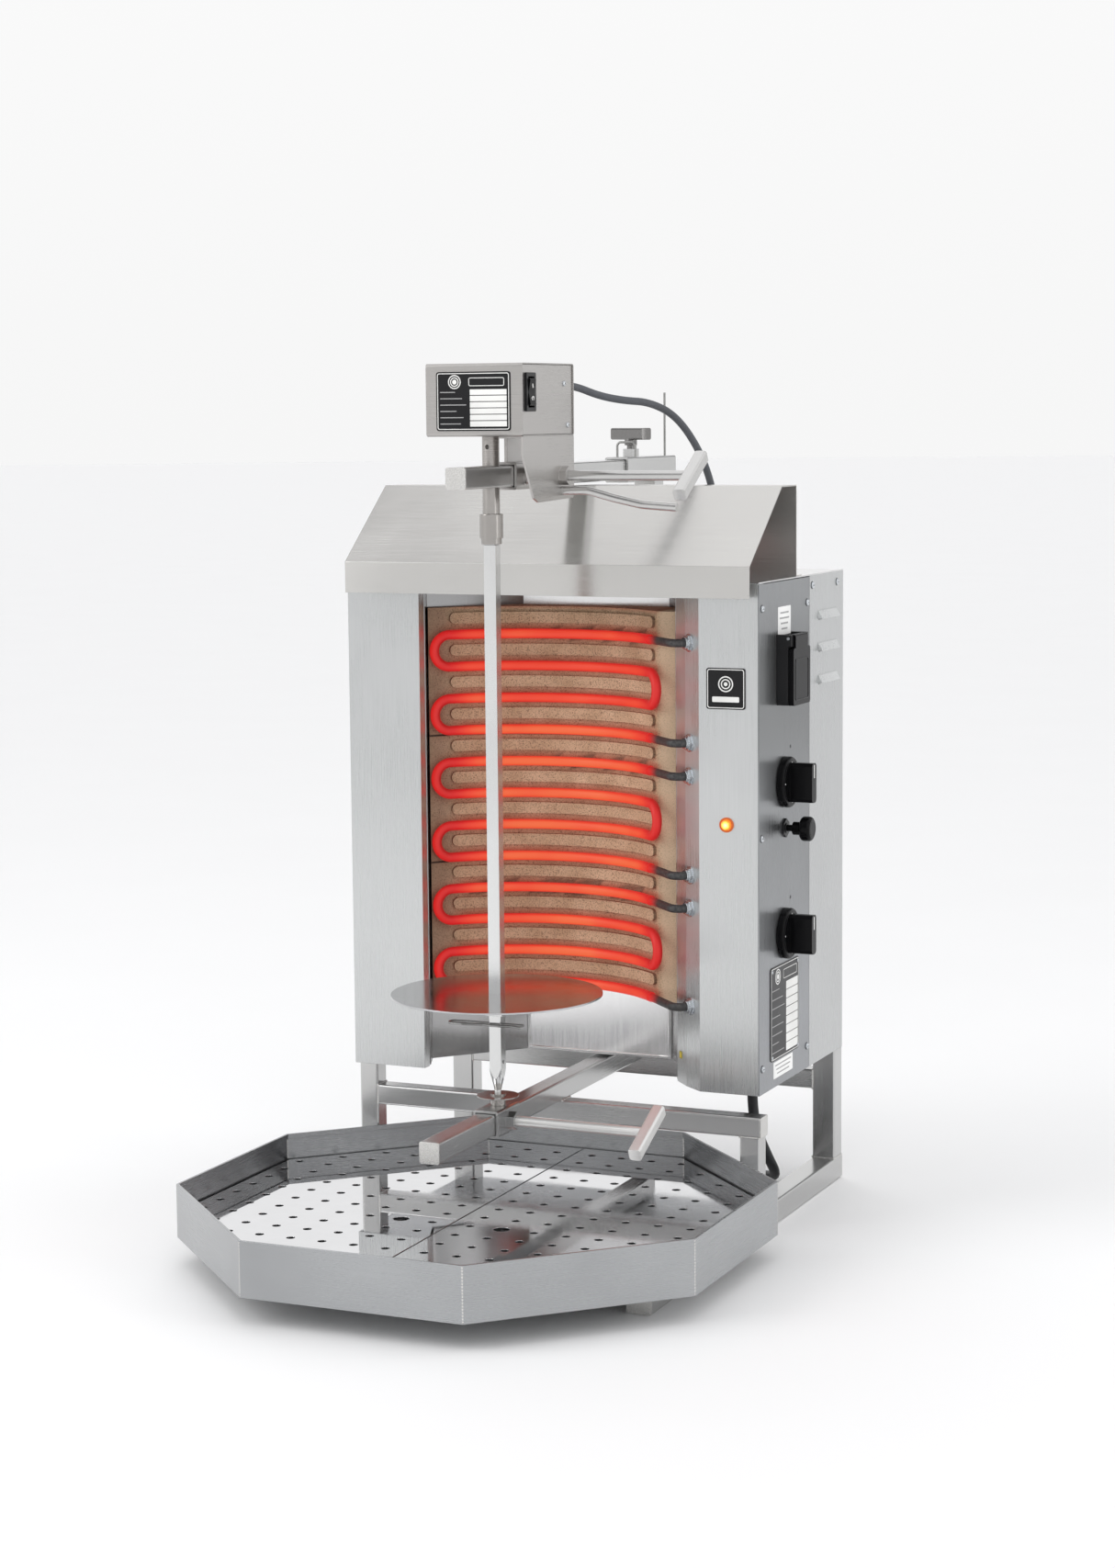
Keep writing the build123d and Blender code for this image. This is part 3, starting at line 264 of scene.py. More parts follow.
print_black = plastic("print_black", (0.005, 0.005, 0.006), 0.24, height=0.01)
print_white = plastic("print_white", (0.78, 0.78, 0.76), 0.42, height=0.05)
print_grey = plastic("print_grey", (0.34, 0.34, 0.34), 0.45, height=0.05)
sticker_white = plastic("sticker_white", (0.84, 0.84, 0.83), 0.5, height=0.1)
sticker_yellow = plastic("sticker_yellow", (0.78, 0.62, 0.05), 0.45, height=0.05)
plug_red = plastic("plug_red", (0.50, 0.035, 0.025), 0.36, height=0.25)
cord_black = plastic("cord_black", (0.018, 0.019, 0.021), 0.46, height=0.35)
cord_grey = plastic("cord_grey", (0.085, 0.09, 0.10), 0.42, height=0.35)


def outside(mat, value, low, high, soft=0.001):
    """1 where a value lies outside a range, else 0."""
    inside = times(mat, remap(mat, value, low - soft, low), remap(mat, value, high + soft, high))
    return math_node(mat, "SUBTRACT", 1.0, inside)


def niche_sheet():
    """The reflector, with painted shade that gives the facets beside the middle one a darker tone."""
    middle_facet = (-0.0998, 0.0975)
    mat = steel("niche_sheet", (0.95, 0.95, 0.95), 0.17, ALONG_Z, 0.02, height=0.02)
    tinted(mat, outside(mat, axes(mat)[0], *middle_facet), (0.44, 0.44, 0.44))
    return mat


def hood_sheet():
    """The hood, with painted light that gives its back wall a lighter tone."""
    plain_to, lighter_from = 0.2262, 0.2272
    mat = steel("hood_steel", (0.62, 0.61, 0.59), 0.22, ALONG_X, 0.03, smudge=0.08, brushed=OVER,
                metal=0.88)
    tinted(mat, remap(mat, axes(mat)[1], plain_to, lighter_from), (1.5, 1.5, 1.5))
    return mat


def rear_sheet():
    """The rear cover, with a painted highlight that gives the louvres a lighter tone where they stand out
    from its sides.
    """
    plain_to, lighter_from = 0.2713, 0.2722
    mat = steel("rear_steel", SHEET_TONE, 0.30, ALONG_Z, 0.05, brushed=SIDEWAYS)
    from_middle = math_node(mat, "ABSOLUTE", axes(mat)[0])
    tinted(mat, remap(mat, from_middle, plain_to, lighter_from), (1.32, 1.32, 1.32))
    return mat


def side_sheet():
    """The right cover, with painted shade that makes it darker around the socket and painted light that makes
    it lighter at its foot.
    """
    mat = steel("cover_steel", (0.36, 0.37, 0.38), 0.32, ALONG_Z, 0.06, smudge=0.2, brushed=SIDEWAYS)
    z = axes(mat)[2]
    socket_shade = times(mat, remap(mat, z, 0.50, 0.63), remap(mat, z, 0.775, 0.69))
    tinted(mat, socket_shade, (0.76, 0.76, 0.75))
    foot = remap(mat, z, 0.42, 0.22)
    tinted(mat, foot, (1.17, 1.17, 1.19))
    return mat


HEATER_X, HEATER_Y = -0.022, 0.001      # the upright line that blocks and elements curve around
ROW_PITCH = 0.040
BLOCK_JOINTS = (0.5865, 0.4265)
ELEMENT_FOOT, ELEMENT_RISE = 0.2528, 0.160


def refractory():
    """Tan board with dark specks and dark block joints, a painted red glow in its grooves, and painted shade
    on its rib walls and at its left edge.
    """
    mat = new_material("refractory", (0.36, 0.25, 0.15), 0.0, 0.92)
    x, y, z = axes(mat)
    fine = noise(mat, 620.0, 3.0, rough=0.7)
    coarse = noise(mat, 28.0, 4.0)
    body = ramp(mat, coarse, [(0.3, (0.46, 0.315, 0.195)), (0.7, (0.60, 0.43, 0.285))])
    specks = ramp(mat, fine, [(0.36, (0.30, 0.27, 0.24)), (0.47, (1, 1, 1)), (0.66, (1.22, 1.2, 1.16))])
    color = mix_color(mat, 0.85, body, specks, "MULTIPLY")

    plain_margin = remap(mat, x, 0.118, 0.126)
    color = mix_color(mat, times(mat, plain_margin, 0.6), color, (0.68, 0.52, 0.36))

    radius = distance(mat, x, HEATER_X, y, HEATER_Y)
    row = math_node(mat, "MODULO", math_node(mat, "ADD", z, 0.0072), ROW_PITCH)
    from_rib = math_node(mat, "ABSOLUTE", math_node(mat, "SUBTRACT", row, ROW_PITCH / 2))
    groove_floor = remap(mat, radius, 0.1955, 0.1966)
    # Painted glow: the elements' red light on the groove floors beside the rows.
    painted_glow = times(mat, remap(mat, from_rib, 0.008, 0.016), groove_floor,
                     remap(mat, x, 0.130, 0.112), remap(mat, x, -0.165, -0.145))
    color = mix_color(mat, times(mat, painted_glow, 0.62), color, (0.42, 0.085, 0.045))

    # Painted shade darkens the board's left edge.
    left_edge_shade = remap(mat, x, -0.150, -0.172)
    color = mix_color(mat, times(mat, left_edge_shade, 0.55), color, (0.16, 0.11, 0.08))

    # Painted shade on the rib walls, in the creases beside the ribs.
    rib_wall_shade = times(mat, remap(mat, radius, 0.1926, 0.1934), remap(mat, radius, 0.1969, 0.1962))
    color = mix_color(mat, times(mat, rib_wall_shade, 0.62), color, (0.085, 0.045, 0.028))

    for joint in BLOCK_JOINTS:
        from_joint = math_node(mat, "ABSOLUTE", math_node(mat, "SUBTRACT", z, joint))
        color = mix_color(mat, remap(mat, from_joint, 0.0017, 0.0006), color, (0.04, 0.026, 0.018))
    wire(mat, color, shader_of(mat).inputs["Base Color"])
    bump(mat, fine, 0.5, 0.0006)
    return mat


def glowing_sheath():
    """A tubular element: red to orange along its rows, with a painted highlight that makes faces toward the
    front more orange, and dark metal at its cold ends.
    """
    mat = new_material("glowing_sheath", (0.05, 0.035, 0.03), 0.2, 0.5)
    x, _, z = axes(mat)
    place = math_node(mat, "MODULO", math_node(mat, "SUBTRACT", z, ELEMENT_FOOT), ELEMENT_RISE)
    from_middle = math_node(mat, "ABSOLUTE", math_node(mat, "SUBTRACT", place, ELEMENT_RISE / 2))
    outer_row = remap(mat, from_middle, 0.040, 0.048)
    cold = times(mat, outer_row, remap(mat, x, 0.113, 0.133))

    between_bends = times(mat, remap(mat, x, -0.165, -0.125), remap(mat, x, 0.127, 0.085))
    patches = remap(mat, noise(mat, 9.0, 2.0), 0.3, 0.7, 0.45, 1.0)
    heat = times(mat, patches, between_bends)
    # Painted highlight: faces toward the front glow more orange.
    geometry = mat.node_tree.nodes.new("ShaderNodeNewGeometry")
    split = mat.node_tree.nodes.new("ShaderNodeSeparateXYZ")
    wire(mat, geometry.outputs["Normal"], split.inputs["Vector"])
    front = remap(mat, split.outputs["Y"], -0.15, -0.98)
    level = math_node(mat, "ADD", times(mat, heat, 0.55), times(mat, front, 0.42))
    glow = ramp(mat, level, [(0.0, (0.34, 0.004, 0.006)), (0.4, (0.62, 0.012, 0.012)),
                             (0.72, (0.80, 0.060, 0.024)), (1.0, (0.84, 0.150, 0.045))])
    wire(mat, mix_color(mat, cold, glow, (0.0, 0.0, 0.0)), shader_of(mat).inputs["Emission Color"])
    shader_of(mat).inputs["Emission Strength"].default_value = 0.95

    skin = noise(mat, 300.0, 3.0)
    sheath = ramp(mat, skin, [(0.35, (0.030, 0.030, 0.032)), (0.7, (0.075, 0.072, 0.070))])
    wire(mat, mix_color(mat, cold, (0.10, 0.01, 0.008), sheath), shader_of(mat).inputs["Base Color"])
    bump(mat, skin, 0.25, 0.0003)
    return mat


LAMP_X, LAMP_Z = 0.230, 0.498
GLOW_RADIUS = 0.010


def amber_lens():
    """A lit lens, brightest in the middle, in its amber rim."""
    mat = new_material("amber_lens", (0.75, 0.30, 0.03), 0.0, 0.18)
    x, _, z = axes(mat)
    from_centre = distance(mat, x, LAMP_X, z, LAMP_Z)
    uneven = math_node(mat, "ADD", from_centre, times(mat, noise(mat, 420.0, 2.0), 0.0018))
    glow = ramp(mat, math_node(mat, "DIVIDE", uneven, GLOW_RADIUS),
                [(0.1, (1.0, 0.88, 0.45)), (0.4, (1.0, 0.58, 0.10)), (0.62, (0.95, 0.25, 0.02)),
                 (0.78, (0.30, 0.06, 0.005))])
    wire(mat, glow, shader_of(mat).inputs["Emission Color"])
    shader_of(mat).inputs["Emission Strength"].default_value = 1.0
    wire(mat, glow, shader_of(mat).inputs["Base Color"])
    return mat


NODE_MATERIALS = {
    column_steel: ("left_column", "right_column"),
    rear_sheet(): ("rear_cover",),
    side_sheet(): ("side_cover",),
    hood_sheet(): ("hood",),
    case_steel: ("motor_case",),
    case_side_steel: ("motor_case_cover", "upper_carriage"),
    pan_steel: ("drip_pan", "floor_panel"),
    niche_sheet(): ("reflector",),
    bright_sheet: ("roof_panel",),
    tube_x: ("cross_rails",),
    bar_steel: ("top_clamp_screw",),
    tube_y: ("foot_rails", "lower_arm", "upper_arm", "upper_sleeve", "lower_carriage"),
    tube_z: ("front_posts", "rear_posts", "rear_mast"),
    weld_steel: ("tube_end_caps",),
    spit_steel: ("spit_bar",),
    turned_steel: ("drive_spindle", "coupling_collar", "lower_bearing_cup"),
    rod_steel: ("upper_clamp_screw", "steady_handle"),
    clamp_steel: ("lower_clamp_screw",),
    wire_steel: ("cable_guide_wire", "spit_clip"),
    mirror_steel: ("pan_insert_left", "pan_insert_right"),
    disc_steel: ("meat_disc",),
    zinc: ("cover_screws", "element_ferrules", "socket_hinge_pin", "gearmotor"),
    refractory(): ("insulation_blocks",),
    glowing_sheath(): ("heating_element_top", "heating_element_middle", "heating_element_bottom"),
    amber_lens(): ("pilot_lamp",),
    print_black: ("front_plates",),
    black_gloss: ("socket_lid", "upper_zone_knob", "lower_zone_knob", "pull_knob", "motor_rocker"),
    black_satin: ("socket_body", "control_switches", "terminal_block", "cable_glands", "motor_switch"),
    plug_red: ("mains_plug",),
}
for mat, names in NODE_MATERIALS.items():
    for name in names:
        for slot in nodes[name].material_slots:
            slot.material = mat


# ---------------------------------------------------------------- geometry tools

def piece(name, verts, faces, mats, body, indices=None, smooth=False):
    """A mesh piece with the given materials, which rides on a body when one is given."""
    mesh = bpy.data.meshes.new(name)
    mesh.from_pydata([tuple(v) for v in verts], [], faces)
    for mat in mats:
        mesh.materials.append(mat)
    if indices:
        mesh.polygons.foreach_set("material_index", indices)
    shape = bmesh.new()
    shape.from_mesh(mesh)
    bmesh.ops.recalc_face_normals(shape, faces=shape.faces)
    shape.to_mesh(mesh)
    shape.free()
    if smooth:
        mesh.shade_smooth()
    mesh.update()
    thing = bpy.data.objects.new(name, mesh)
    scene.collection.objects.link(thing)
    if body:
        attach(thing, body)
    return thing


def rounded_outline(x0, y0, x1, y1, radius, steps=5):
    """The corners of a rectangle as short arcs, anticlockwise."""
    points = []
    corners = [(x1 - radius, y0 + radius, -90), (x1 - radius, y1 - radius, 0),
               (x0 + radius, y1 - radius, 90), (x0 + radius, y0 + radius, 180)]
    for cx, cy, start in corners:
        for i in range(steps + 1):
            angle = math.radians(start + 90 * i / steps)
            points.append((cx + radius * math.cos(angle), cy + radius * math.sin(angle)))
    return points


def circle_outline(cx, cy, radius, steps=28):
    """Points round a circle, anticlockwise."""
    angles = [2 * math.pi * i / steps for i in range(steps)]
    return [(cx + radius * math.cos(angle), cy + radius * math.sin(angle)) for angle in angles]


class Print:
    """Thin raised shapes on a plane, in millimetres, gathered in one mesh."""

    def __init__(self, origin, across, up):
        self.origin = Vector(origin)
        self.across = Vector(across).normalized()
        self.up = Vector(up).normalized()
        self.out = self.across.cross(self.up)
        self.verts, self.faces, self.mats, self.indices = [], [], [], []

    def _place(self, x, y, lift):
        return self.origin + (self.across * x + self.up * y + self.out * lift) / 1000

    def _index(self, mat):
        if mat not in self.mats:
            self.mats.append(mat)
        return self.mats.index(mat)

    def solid(self, outline, mat, lift=0.0, thick=0.15):
        """A filled outline with its side walls."""
        low, count, index = len(self.verts), len(outline), self._index(mat)
        high = low + count
        for height in (lift, lift + thick):
            self.verts += [self._place(x, y, height) for x, y in outline]
        self.faces.append(tuple(high + i for i in range(count)))
        for i in range(count):
            following = (i + 1) % count
            self.faces.append((low + i, low + following, high + following, high + i))
        self.indices += [index] * (count + 1)
        return self

    def rect(self, x0, y0, x1, y1, mat, lift=0.0, thick=0.15, radius=0.6):
        return self.solid(rounded_outline(x0, y0, x1, y1, radius), mat, lift, thick)

    def frame(self, x0, y0, x1, y1, width, mat, lift=0.0, thick=0.15, radius=2.0):
        outer = rounded_outline(x0, y0, x1, y1, radius)
        inner = rounded_outline(x0 + width, y0 + width, x1 - width, y1 - width, max(0.3, radius - width))
        return self._band(outer, inner, mat, lift, thick)

    def ring(self, cx, cy, outer, inner, mat, lift=0.0, thick=0.15):
        return self._band(circle_outline(cx, cy, outer), circle_outline(cx, cy, inner), mat, lift, thick)

    def _band(self, outer, inner, mat, lift, thick):
        """The outer wall, the top and the inner wall between two outlines."""
        first, count, index = len(self.verts), len(outer), self._index(mat)
        for outline, height in ((outer, lift), (outer, lift + thick), (inner, lift + thick), (inner, lift)):
            self.verts += [self._place(x, y, height) for x, y in outline]
        for band in range(3):
            a, b = first + band * count, first + (band + 1) * count
            self.faces += [(a + i, a + (i + 1) % count, b + (i + 1) % count, b + i) for i in range(count)]
        self.indices += [index] * (3 * count)
        return self

    def make(self, name, body, finish):
        return piece(name, self.verts, self.faces, self.mats, body, self.indices)


def tube(name, points, radius, mat, body, sides=14, closed=False, ripple=0.0, pitch=0.004):
    """A round tube along points, with no twist; ripple gives it the scales of a weld bead."""
    points = [Vector(p) for p in points]
    count = len(points)
    verts, faces = [], []
    normal = None
    travelled = 0.0
    for i, point in enumerate(points):
        before = points[i - 1] if i or closed else point
        after = points[(i + 1) % count] if i < count - 1 or closed else point
        along = (after - before).normalized()
        if normal is None:
            normal = along.orthogonal().normalized()
        normal = (normal - along * normal.dot(along)).normalized()
        side = along.cross(normal)
        travelled += (point - points[i - 1]).length if i else 0.0
        size = radius * (1 + ripple * math.sin(2 * math.pi * travelled / pitch))
        for k in range(sides):
            angle = 2 * math.pi * k / sides
            verts.append(point + (normal * math.cos(angle) + side * math.sin(angle)) * size)
    for i in range(count if closed else count - 1):
        a, b = i * sides, ((i + 1) % count) * sides
        faces += [(a + k, a + (k + 1) % sides, b + (k + 1) % sides, b + k) for k in range(sides)]
    if not closed:
        faces += [tuple(range(sides)), tuple((count - 1) * sides + k for k in range(sides))]
    return piece(name, verts, faces, [mat], body, smooth=True)


def weld(name, corners, body, radius=1.5, closed=False):
    """A weld bead along straight stretches, in millimetres."""
    points = []
    stretches = list(zip(corners, corners[1:] + corners[:1])) if closed else list(zip(corners, corners[1:]))
    for a, b in stretches:
        a, b = Vector(a) / 1000, Vector(b) / 1000
        steps = max(2, int((b - a).length / 0.001))
        points += [a.lerp(b, i / steps) for i in range(steps)]
    if not closed:
        points.append(Vector(corners[-1]) / 1000)
    return tube(name, points, radius / 1000, weld_steel, body, 8, closed, ripple=0.16,
                pitch=0.0035)


# radius and height of the rings of a screw's head, as parts of its radius
HEAD_RINGS = ((1.0, 0.0), (1.0, 0.22), (0.93, 0.42), (0.74, 0.56), (0.45, 0.62))
HEAD_SIDES = 24
RECESS_SLOT = ((-0.42, -0.09), (0.42, -0.09), (0.42, 0.09), (-0.42, 0.09))


def screw(name, at, out, radius, body):
    """A pan-head screw with a cross recess, in millimetres."""
    out = Vector(out).normalized()
    across = out.orthogonal().normalized()
    up = out.cross(across)
    verts, faces = [], []
    for reach, height in HEAD_RINGS:
        r, h = radius * reach, radius * height
        for k in range(HEAD_SIDES):
            angle = 2 * math.pi * k / HEAD_SIDES
            point = Vector(at) + across * r * math.cos(angle) + up * r * math.sin(angle) + out * h
            verts.append(point / 1000)
    for i in range(len(HEAD_RINGS) - 1):
        a, b = i * HEAD_SIDES, (i + 1) * HEAD_SIDES
        faces += [(a + k, a + (k + 1) % HEAD_SIDES, b + (k + 1) % HEAD_SIDES, b + k)
                  for k in range(HEAD_SIDES)]
    faces.append(tuple((len(HEAD_RINGS) - 1) * HEAD_SIDES + k for k in range(HEAD_SIDES)))
    indices = [0] * len(faces)
    for turned in (0, 1):
        first = len(verts)
        u, v = (across, up) if turned else (up, across)
        lift = 0.625 + 0.01 * turned
        for a, b in RECESS_SLOT:
            point = Vector(at) + u * radius * a + v * radius * b + out * lift * radius
            verts.append(point / 1000)
        faces.append((first, first + 1, first + 2, first + 3))
        indices.append(1)
    return piece(name, verts, faces, [zinc, black_satin], body, indices)


# ---------------------------------------------------------------- cords

def nurbs(name, points, radius):
    """One open spline through millimetre control points."""
    curve = bpy.data.curves.new(name, "CURVE")
    curve.dimensions = "3D"
    curve.resolution_u = 10
    curve.bevel_depth = radius
    curve.bevel_resolution = 5
    curve.use_fill_caps = True
    spline = curve.splines.new("NURBS")
    spline.points.add(len(points) - 1)
    for target, point in zip(spline.points, points):
        target.co = (*(c / 1000 for c in point), 1)
    spline.order_u = 3
    spline.use_endpoint_u = True
    thing = bpy.data.objects.new(name, curve)
    scene.collection.objects.link(thing)
    return thing


def ease(value, low, high):
    """0 below low, 1 above high, and a smooth step between them."""
    t = min(1.0, max(0.0, (value - low) / (high - low)))
    return t * t * (3 - 2 * t)


CABLE = 13.0                    # the mains cable's diameter, in millimetres
COIL_X, COIL_Y = 4, 290         # the coil's middle, in millimetres
OUTER_TURN = 78.5               # radius of the outer turns to the cable's middle, in millimetres
TURN_START, TURN_STEP, TURN_POINTS = 72, 18, 63
SPLINE_INSET = 0.9877           # the spline's radius over that of its control points


def coil_turns():
    """About 1.7 turns on the table, outside then inside, and 1.4 on top of them, inside then outside."""
    points = []
    for step in range(TURN_POINTS):
        angle = TURN_START + TURN_STEP * step
        radius = OUTER_TURN - CABLE * ease(angle, 368, 428) + CABLE * ease(angle, 968, 1028)
        height = CABLE / 2 + CABLE * ease(angle, 660, 726)
        reach = radius / SPLINE_INSET
        turn = math.radians(angle)
        points.append((COIL_X + reach * math.cos(turn), COIL_Y + reach * math.sin(turn), height))
    return points


MAINS_LEAD = [(212, 218, 152), (212, 218, 122), (216, 228, 88), (221, 250, 55), (220, 282, 28),
              (205, 316, 12), (175.5, 343, 7), (136, 354, 6.5), (92, 361, 6.5), (46, 362.5, 6.5)]
MAINS_TAIL = [(-30, 362.5, 21), (-57, 362.5, 31), (-84, 362.5, 31)]
mains = nurbs("mains_cable_line", MAINS_LEAD + coil_turns() + MAINS_TAIL, 0.0065)
mains.data.materials.append(cord_black)
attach(mains, "root")
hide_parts("mains_cable", "mains_cable_coil")

MOTOR_CORD = [(46, 24.5, 1018), (49, 52, 1018), (66, 86, 1006), (84, 122, 1000), (102, 160, 998),
              (120, 200, 982), (134, 238, 944), (143, 262, 900), (146, 272, 856), (146, 272, 802.5)]
route = nurbs("motor_cord_route", MOTOR_CORD, 0.0)
route.data.use_fill_caps = False
bpy.context.view_layer.update()
line = bpy.data.meshes.new_from_object(route.evaluated_get(bpy.context.evaluated_depsgraph_get()))
cord_path = [v.co.copy() for v in line.vertices]
bpy.data.objects.remove(route)
motor_line = tube("motor_cord_line", cord_path, 0.0045, cord_grey, None, 18)
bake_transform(motor_line)
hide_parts("motor_cord")


# ---------------------------------------------------------------- plates and labels

PRINT_LIFT = 0.12           # thickness of printed lines and cells, in millimetres
BAR_REACHES = (0.55, 0.8, 0.95, 0.6, 0.85, 0.75, 0.5, 0.9)


def data_plate(art, width, height, split, rows, head):
    """A white border, rings and an empty box in the head, then rows of a grey bar and a white cell."""
    side, end = width / 2, height / 2
    art.frame(1.5 - side, 1.5 - end, side - 1.5, end - 1.5, 0.9, print_white, 0.0, PRINT_LIFT, 2.5)
    top = end - head
    middle = end - head / 2 - 1.5
    seal = -width * 0.25
    art.ring(seal, middle, head * 0.40, head * 0.34, print_white, 0.0, PRINT_LIFT)
    art.ring(seal, middle, head * 0.27, head * 0.21, print_white, 0.0, PRINT_LIFT)
    art.solid(circle_outline(seal, middle, head * 0.14), print_white, 0.0, PRINT_LIFT)
    box = head * 0.24
    art.frame(-width * 0.06, middle - box, width * 0.42, middle + box, 0.8, print_white, 0.0, PRINT_LIFT, 2.0)
    pitch = (top + end - 4.0) / rows
    for i in range(rows):
        high = top - i * pitch
        low = high - pitch + 0.9
        art.rect(split, low, side - 4.5, high, print_white, 0.0, PRINT_LIFT, 0.4)
        line = (low + high) / 2
        start = 5 - side
        stop = start + (split - 3 - start) * BAR_REACHES[i % len(BAR_REACHES)]
        art.rect(start, line - 0.55, stop, line + 0.55, print_grey, 0.0, PRINT_LIFT, 0.3)


COVER_X = 0.271             # the right cover's outer face
# directions across a print that faces right and one that faces the front, and up either
EAST, FRONT, UP = (0, 1, 0), (1, 0, 0), (0, 0, 1)


def on_cover(y, z, x=COVER_X):
    """A plane for print that faces right, by default on the right cover."""
    return Print((x, y, z), EAST, UP)


def blank_note(name, y, z, width, height, bars, highest, pitch, thick):
    """A white note on the right cover with plain grey bars, in millimetres from its middle."""
    note = on_cover(y, z)
    note.rect(-width / 2, -height / 2, width / 2, height / 2, sticker_white, 0.0, 0.2, 1.2)
    for i, reach in enumerate(bars):
        low = highest - pitch * i
        note.rect(-reach / 2, low, reach / 2, low + thick, print_grey, 0.2, 0.05, 0.4)
    note.make(name, "root", "plate_black")


motor_plate = Print((-0.0005, -0.1235, 1.000), FRONT, UP)
motor_plate.rect(-46.5, -33.5, 46.5, 33.5, print_black, 0.0, 0.8, 3)
motor_print = Print((-0.0005, -0.1243, 1.000), FRONT, UP)
data_plate(motor_print, 93, 67, -4, 6, 20)
motor_plate.make("motor_plate", "motor_carriage", "plate_black")
motor_print.make("motor_plate_print", "motor_carriage", "plate_black")

TYPE_PLATE_X = 0.272
type_print = on_cover(0.1695, 0.2625, TYPE_PLATE_X)
data_plate(type_print, 103, 115, 4, 8, 24)
type_print.make("type_plate_print", "root", "plate_black")
for i, (y, z) in enumerate(((0.123, 0.210), (0.216, 0.210), (0.123, 0.315), (0.216, 0.315))):
    rivet = on_cover(y, z, TYPE_PLATE_X)
    rivet.solid(circle_outline(0, 0, 2.2, 20), zinc, 0.0, 0.7)
    rivet.solid(circle_outline(0, 0, 1.5, 20), zinc, 0.7, 0.3)
    rivet.make("type_plate_rivet_%d" % i, "root", "zinc")

badge = Print((0.2295, 0.0788, 0.6605), FRONT, UP)
badge.frame(-23.2, -23.2, 23.2, 23.2, 1.0, print_white, 0.0, 0.15, 3.0)
badge.ring(0, 5.5, 9.5, 8.0, print_white)
badge.ring(0, 5.5, 6.0, 4.6, print_white)
badge.solid(circle_outline(0, 5.5, 2.4), print_white)
badge.rect(-17, -16, 17, -9.5, print_white, radius=1.2)
badge.make("front_badge_print", "root", "plate_black")

blank_note("cover_note_upper", 0.1695, 0.7365, 46, 34, (30, 34, 26, 22), 8.5, 6.4, 2.0)
blank_note("cover_note_lower", 0.165, 0.1925, 70, 20.4, (58, 50, 44), 4.6, 5.2, 1.6)
strip_mark = Print((0.1562, 0.1163, 0.207), (0.659, -0.752, 0), UP)
strip_mark.rect(-4.5, -4.5, 4.5, 4.5, sticker_yellow, 0.1, 0.2, 1.0)
strip_mark.frame(-4.2, -4.2, 4.2, 4.2, 0.6, print_black, 0.3, 0.05, 0.8)
strip_mark.make("strip_mark", "root", "plate_black")

CONTROL_Y = 0.170           # the line of knobs up the right cover
KNOB_HEIGHTS = {"upper": 0.541, "lower": 0.356}
for name, z in KNOB_HEIGHTS.items():
    dot = on_cover(CONTROL_Y + 0.022, z + 0.041)
    dot.solid(circle_outline(0, 0, 2.2), print_black, 0.0, 0.15)
    dot.make(name + "_zone_index", "root", "plate_black")


# ---------------------------------------------------------------- switch and knobs

GRIP_X, SKIRT_X = 0.309, 0.281      # the faces of a zone knob's grip and of its skirt
for name, z in KNOB_HEIGHTS.items():
    grip = on_cover(CONTROL_Y, z, GRIP_X)
    grip.rect(-1.1, 6, 1.1, 22, print_white, 0.0, 0.15, 0.5)
    grip.make(name + "_knob_pointer", name + "_zone_knob", "plate_black")
    skirt = on_cover(CONTROL_Y, z, SKIRT_X)
    skirt.ring(0, 0, 27.2, 26.6, black_satin, 0.0, 0.25)
    for step in range(4):
        angle = math.radians(90 - 90 * step)
        across, up = 24.2 * math.cos(angle), 24.2 * math.sin(angle)
        skirt.solid(circle_outline(across, up, 1.0, 16), print_white, 0.0, PRINT_LIFT)
    skirt.make(name + "_knob_dial", name + "_zone_knob", "plate_black")

ROCKER_X, ROCKER_Y, ROCKER_Z = 0.06345, -0.101, 1.010
rocker_top = Print((ROCKER_X, ROCKER_Y, ROCKER_Z + 0.0075), EAST, (-0.163, 0, 0.986))
rocker_top.rect(-0.7, -3.0, 0.7, 3.0, print_white, -0.3, 0.9, 0.3)
rocker_top.make("rocker_on_mark", "motor_rocker", "plate_black")
rocker_low = Print((ROCKER_X, ROCKER_Y, ROCKER_Z - 0.0075), EAST, (0.163, 0, 0.986))
rocker_low.ring(0, 0, 2.9, 1.9, print_white, -0.3, 0.9)
rocker_low.make("rocker_off_mark", "motor_rocker", "plate_black")
pull_ring = on_cover(CONTROL_Y, 0.485, 0.307)
pull_ring.ring(0, 0, 9.5, 8.9, black_satin, 0.0, 0.2)
pull_ring.make("pull_knob_ring", "pull_knob", "black_gloss")
lid_panel = on_cover(0.171, 0.668, 0.293)
lid_panel.frame(-24, -26, 24, 24, 1.2, black_satin, 0.0, 0.5, 4)
lid_panel.make("socket_lid_rim", "socket_lid", "black_gloss")


# ---------------------------------------------------------------- screws and welds, in millimetres

screw("case_cover_screw_rear", (59.0, -1.5, 1020), (1, 0, 0), 3.2, "motor_carriage")
screw("case_cover_screw_low", (59.0, 8, 972), (1, 0, 0), 3.2, "motor_carriage")
REAR_SCREWS = [(x, z) for z in (760, 480, 200) for x in (-255, 255)]
for i, (x, z) in enumerate(REAR_SCREWS):
    screw("rear_screw_%d" % i, (x, 394, z), (0, 1, 0), 4.0, "root")
TOP_SCREWS = [(273, 773), (369, 772)]
for i, (y, z) in enumerate(TOP_SCREWS + [(90, 755), (90, 203)]):
    screw("left_screw_%d" % i, (-271, y, z), (-1, 0, 0), 4.0, "root")
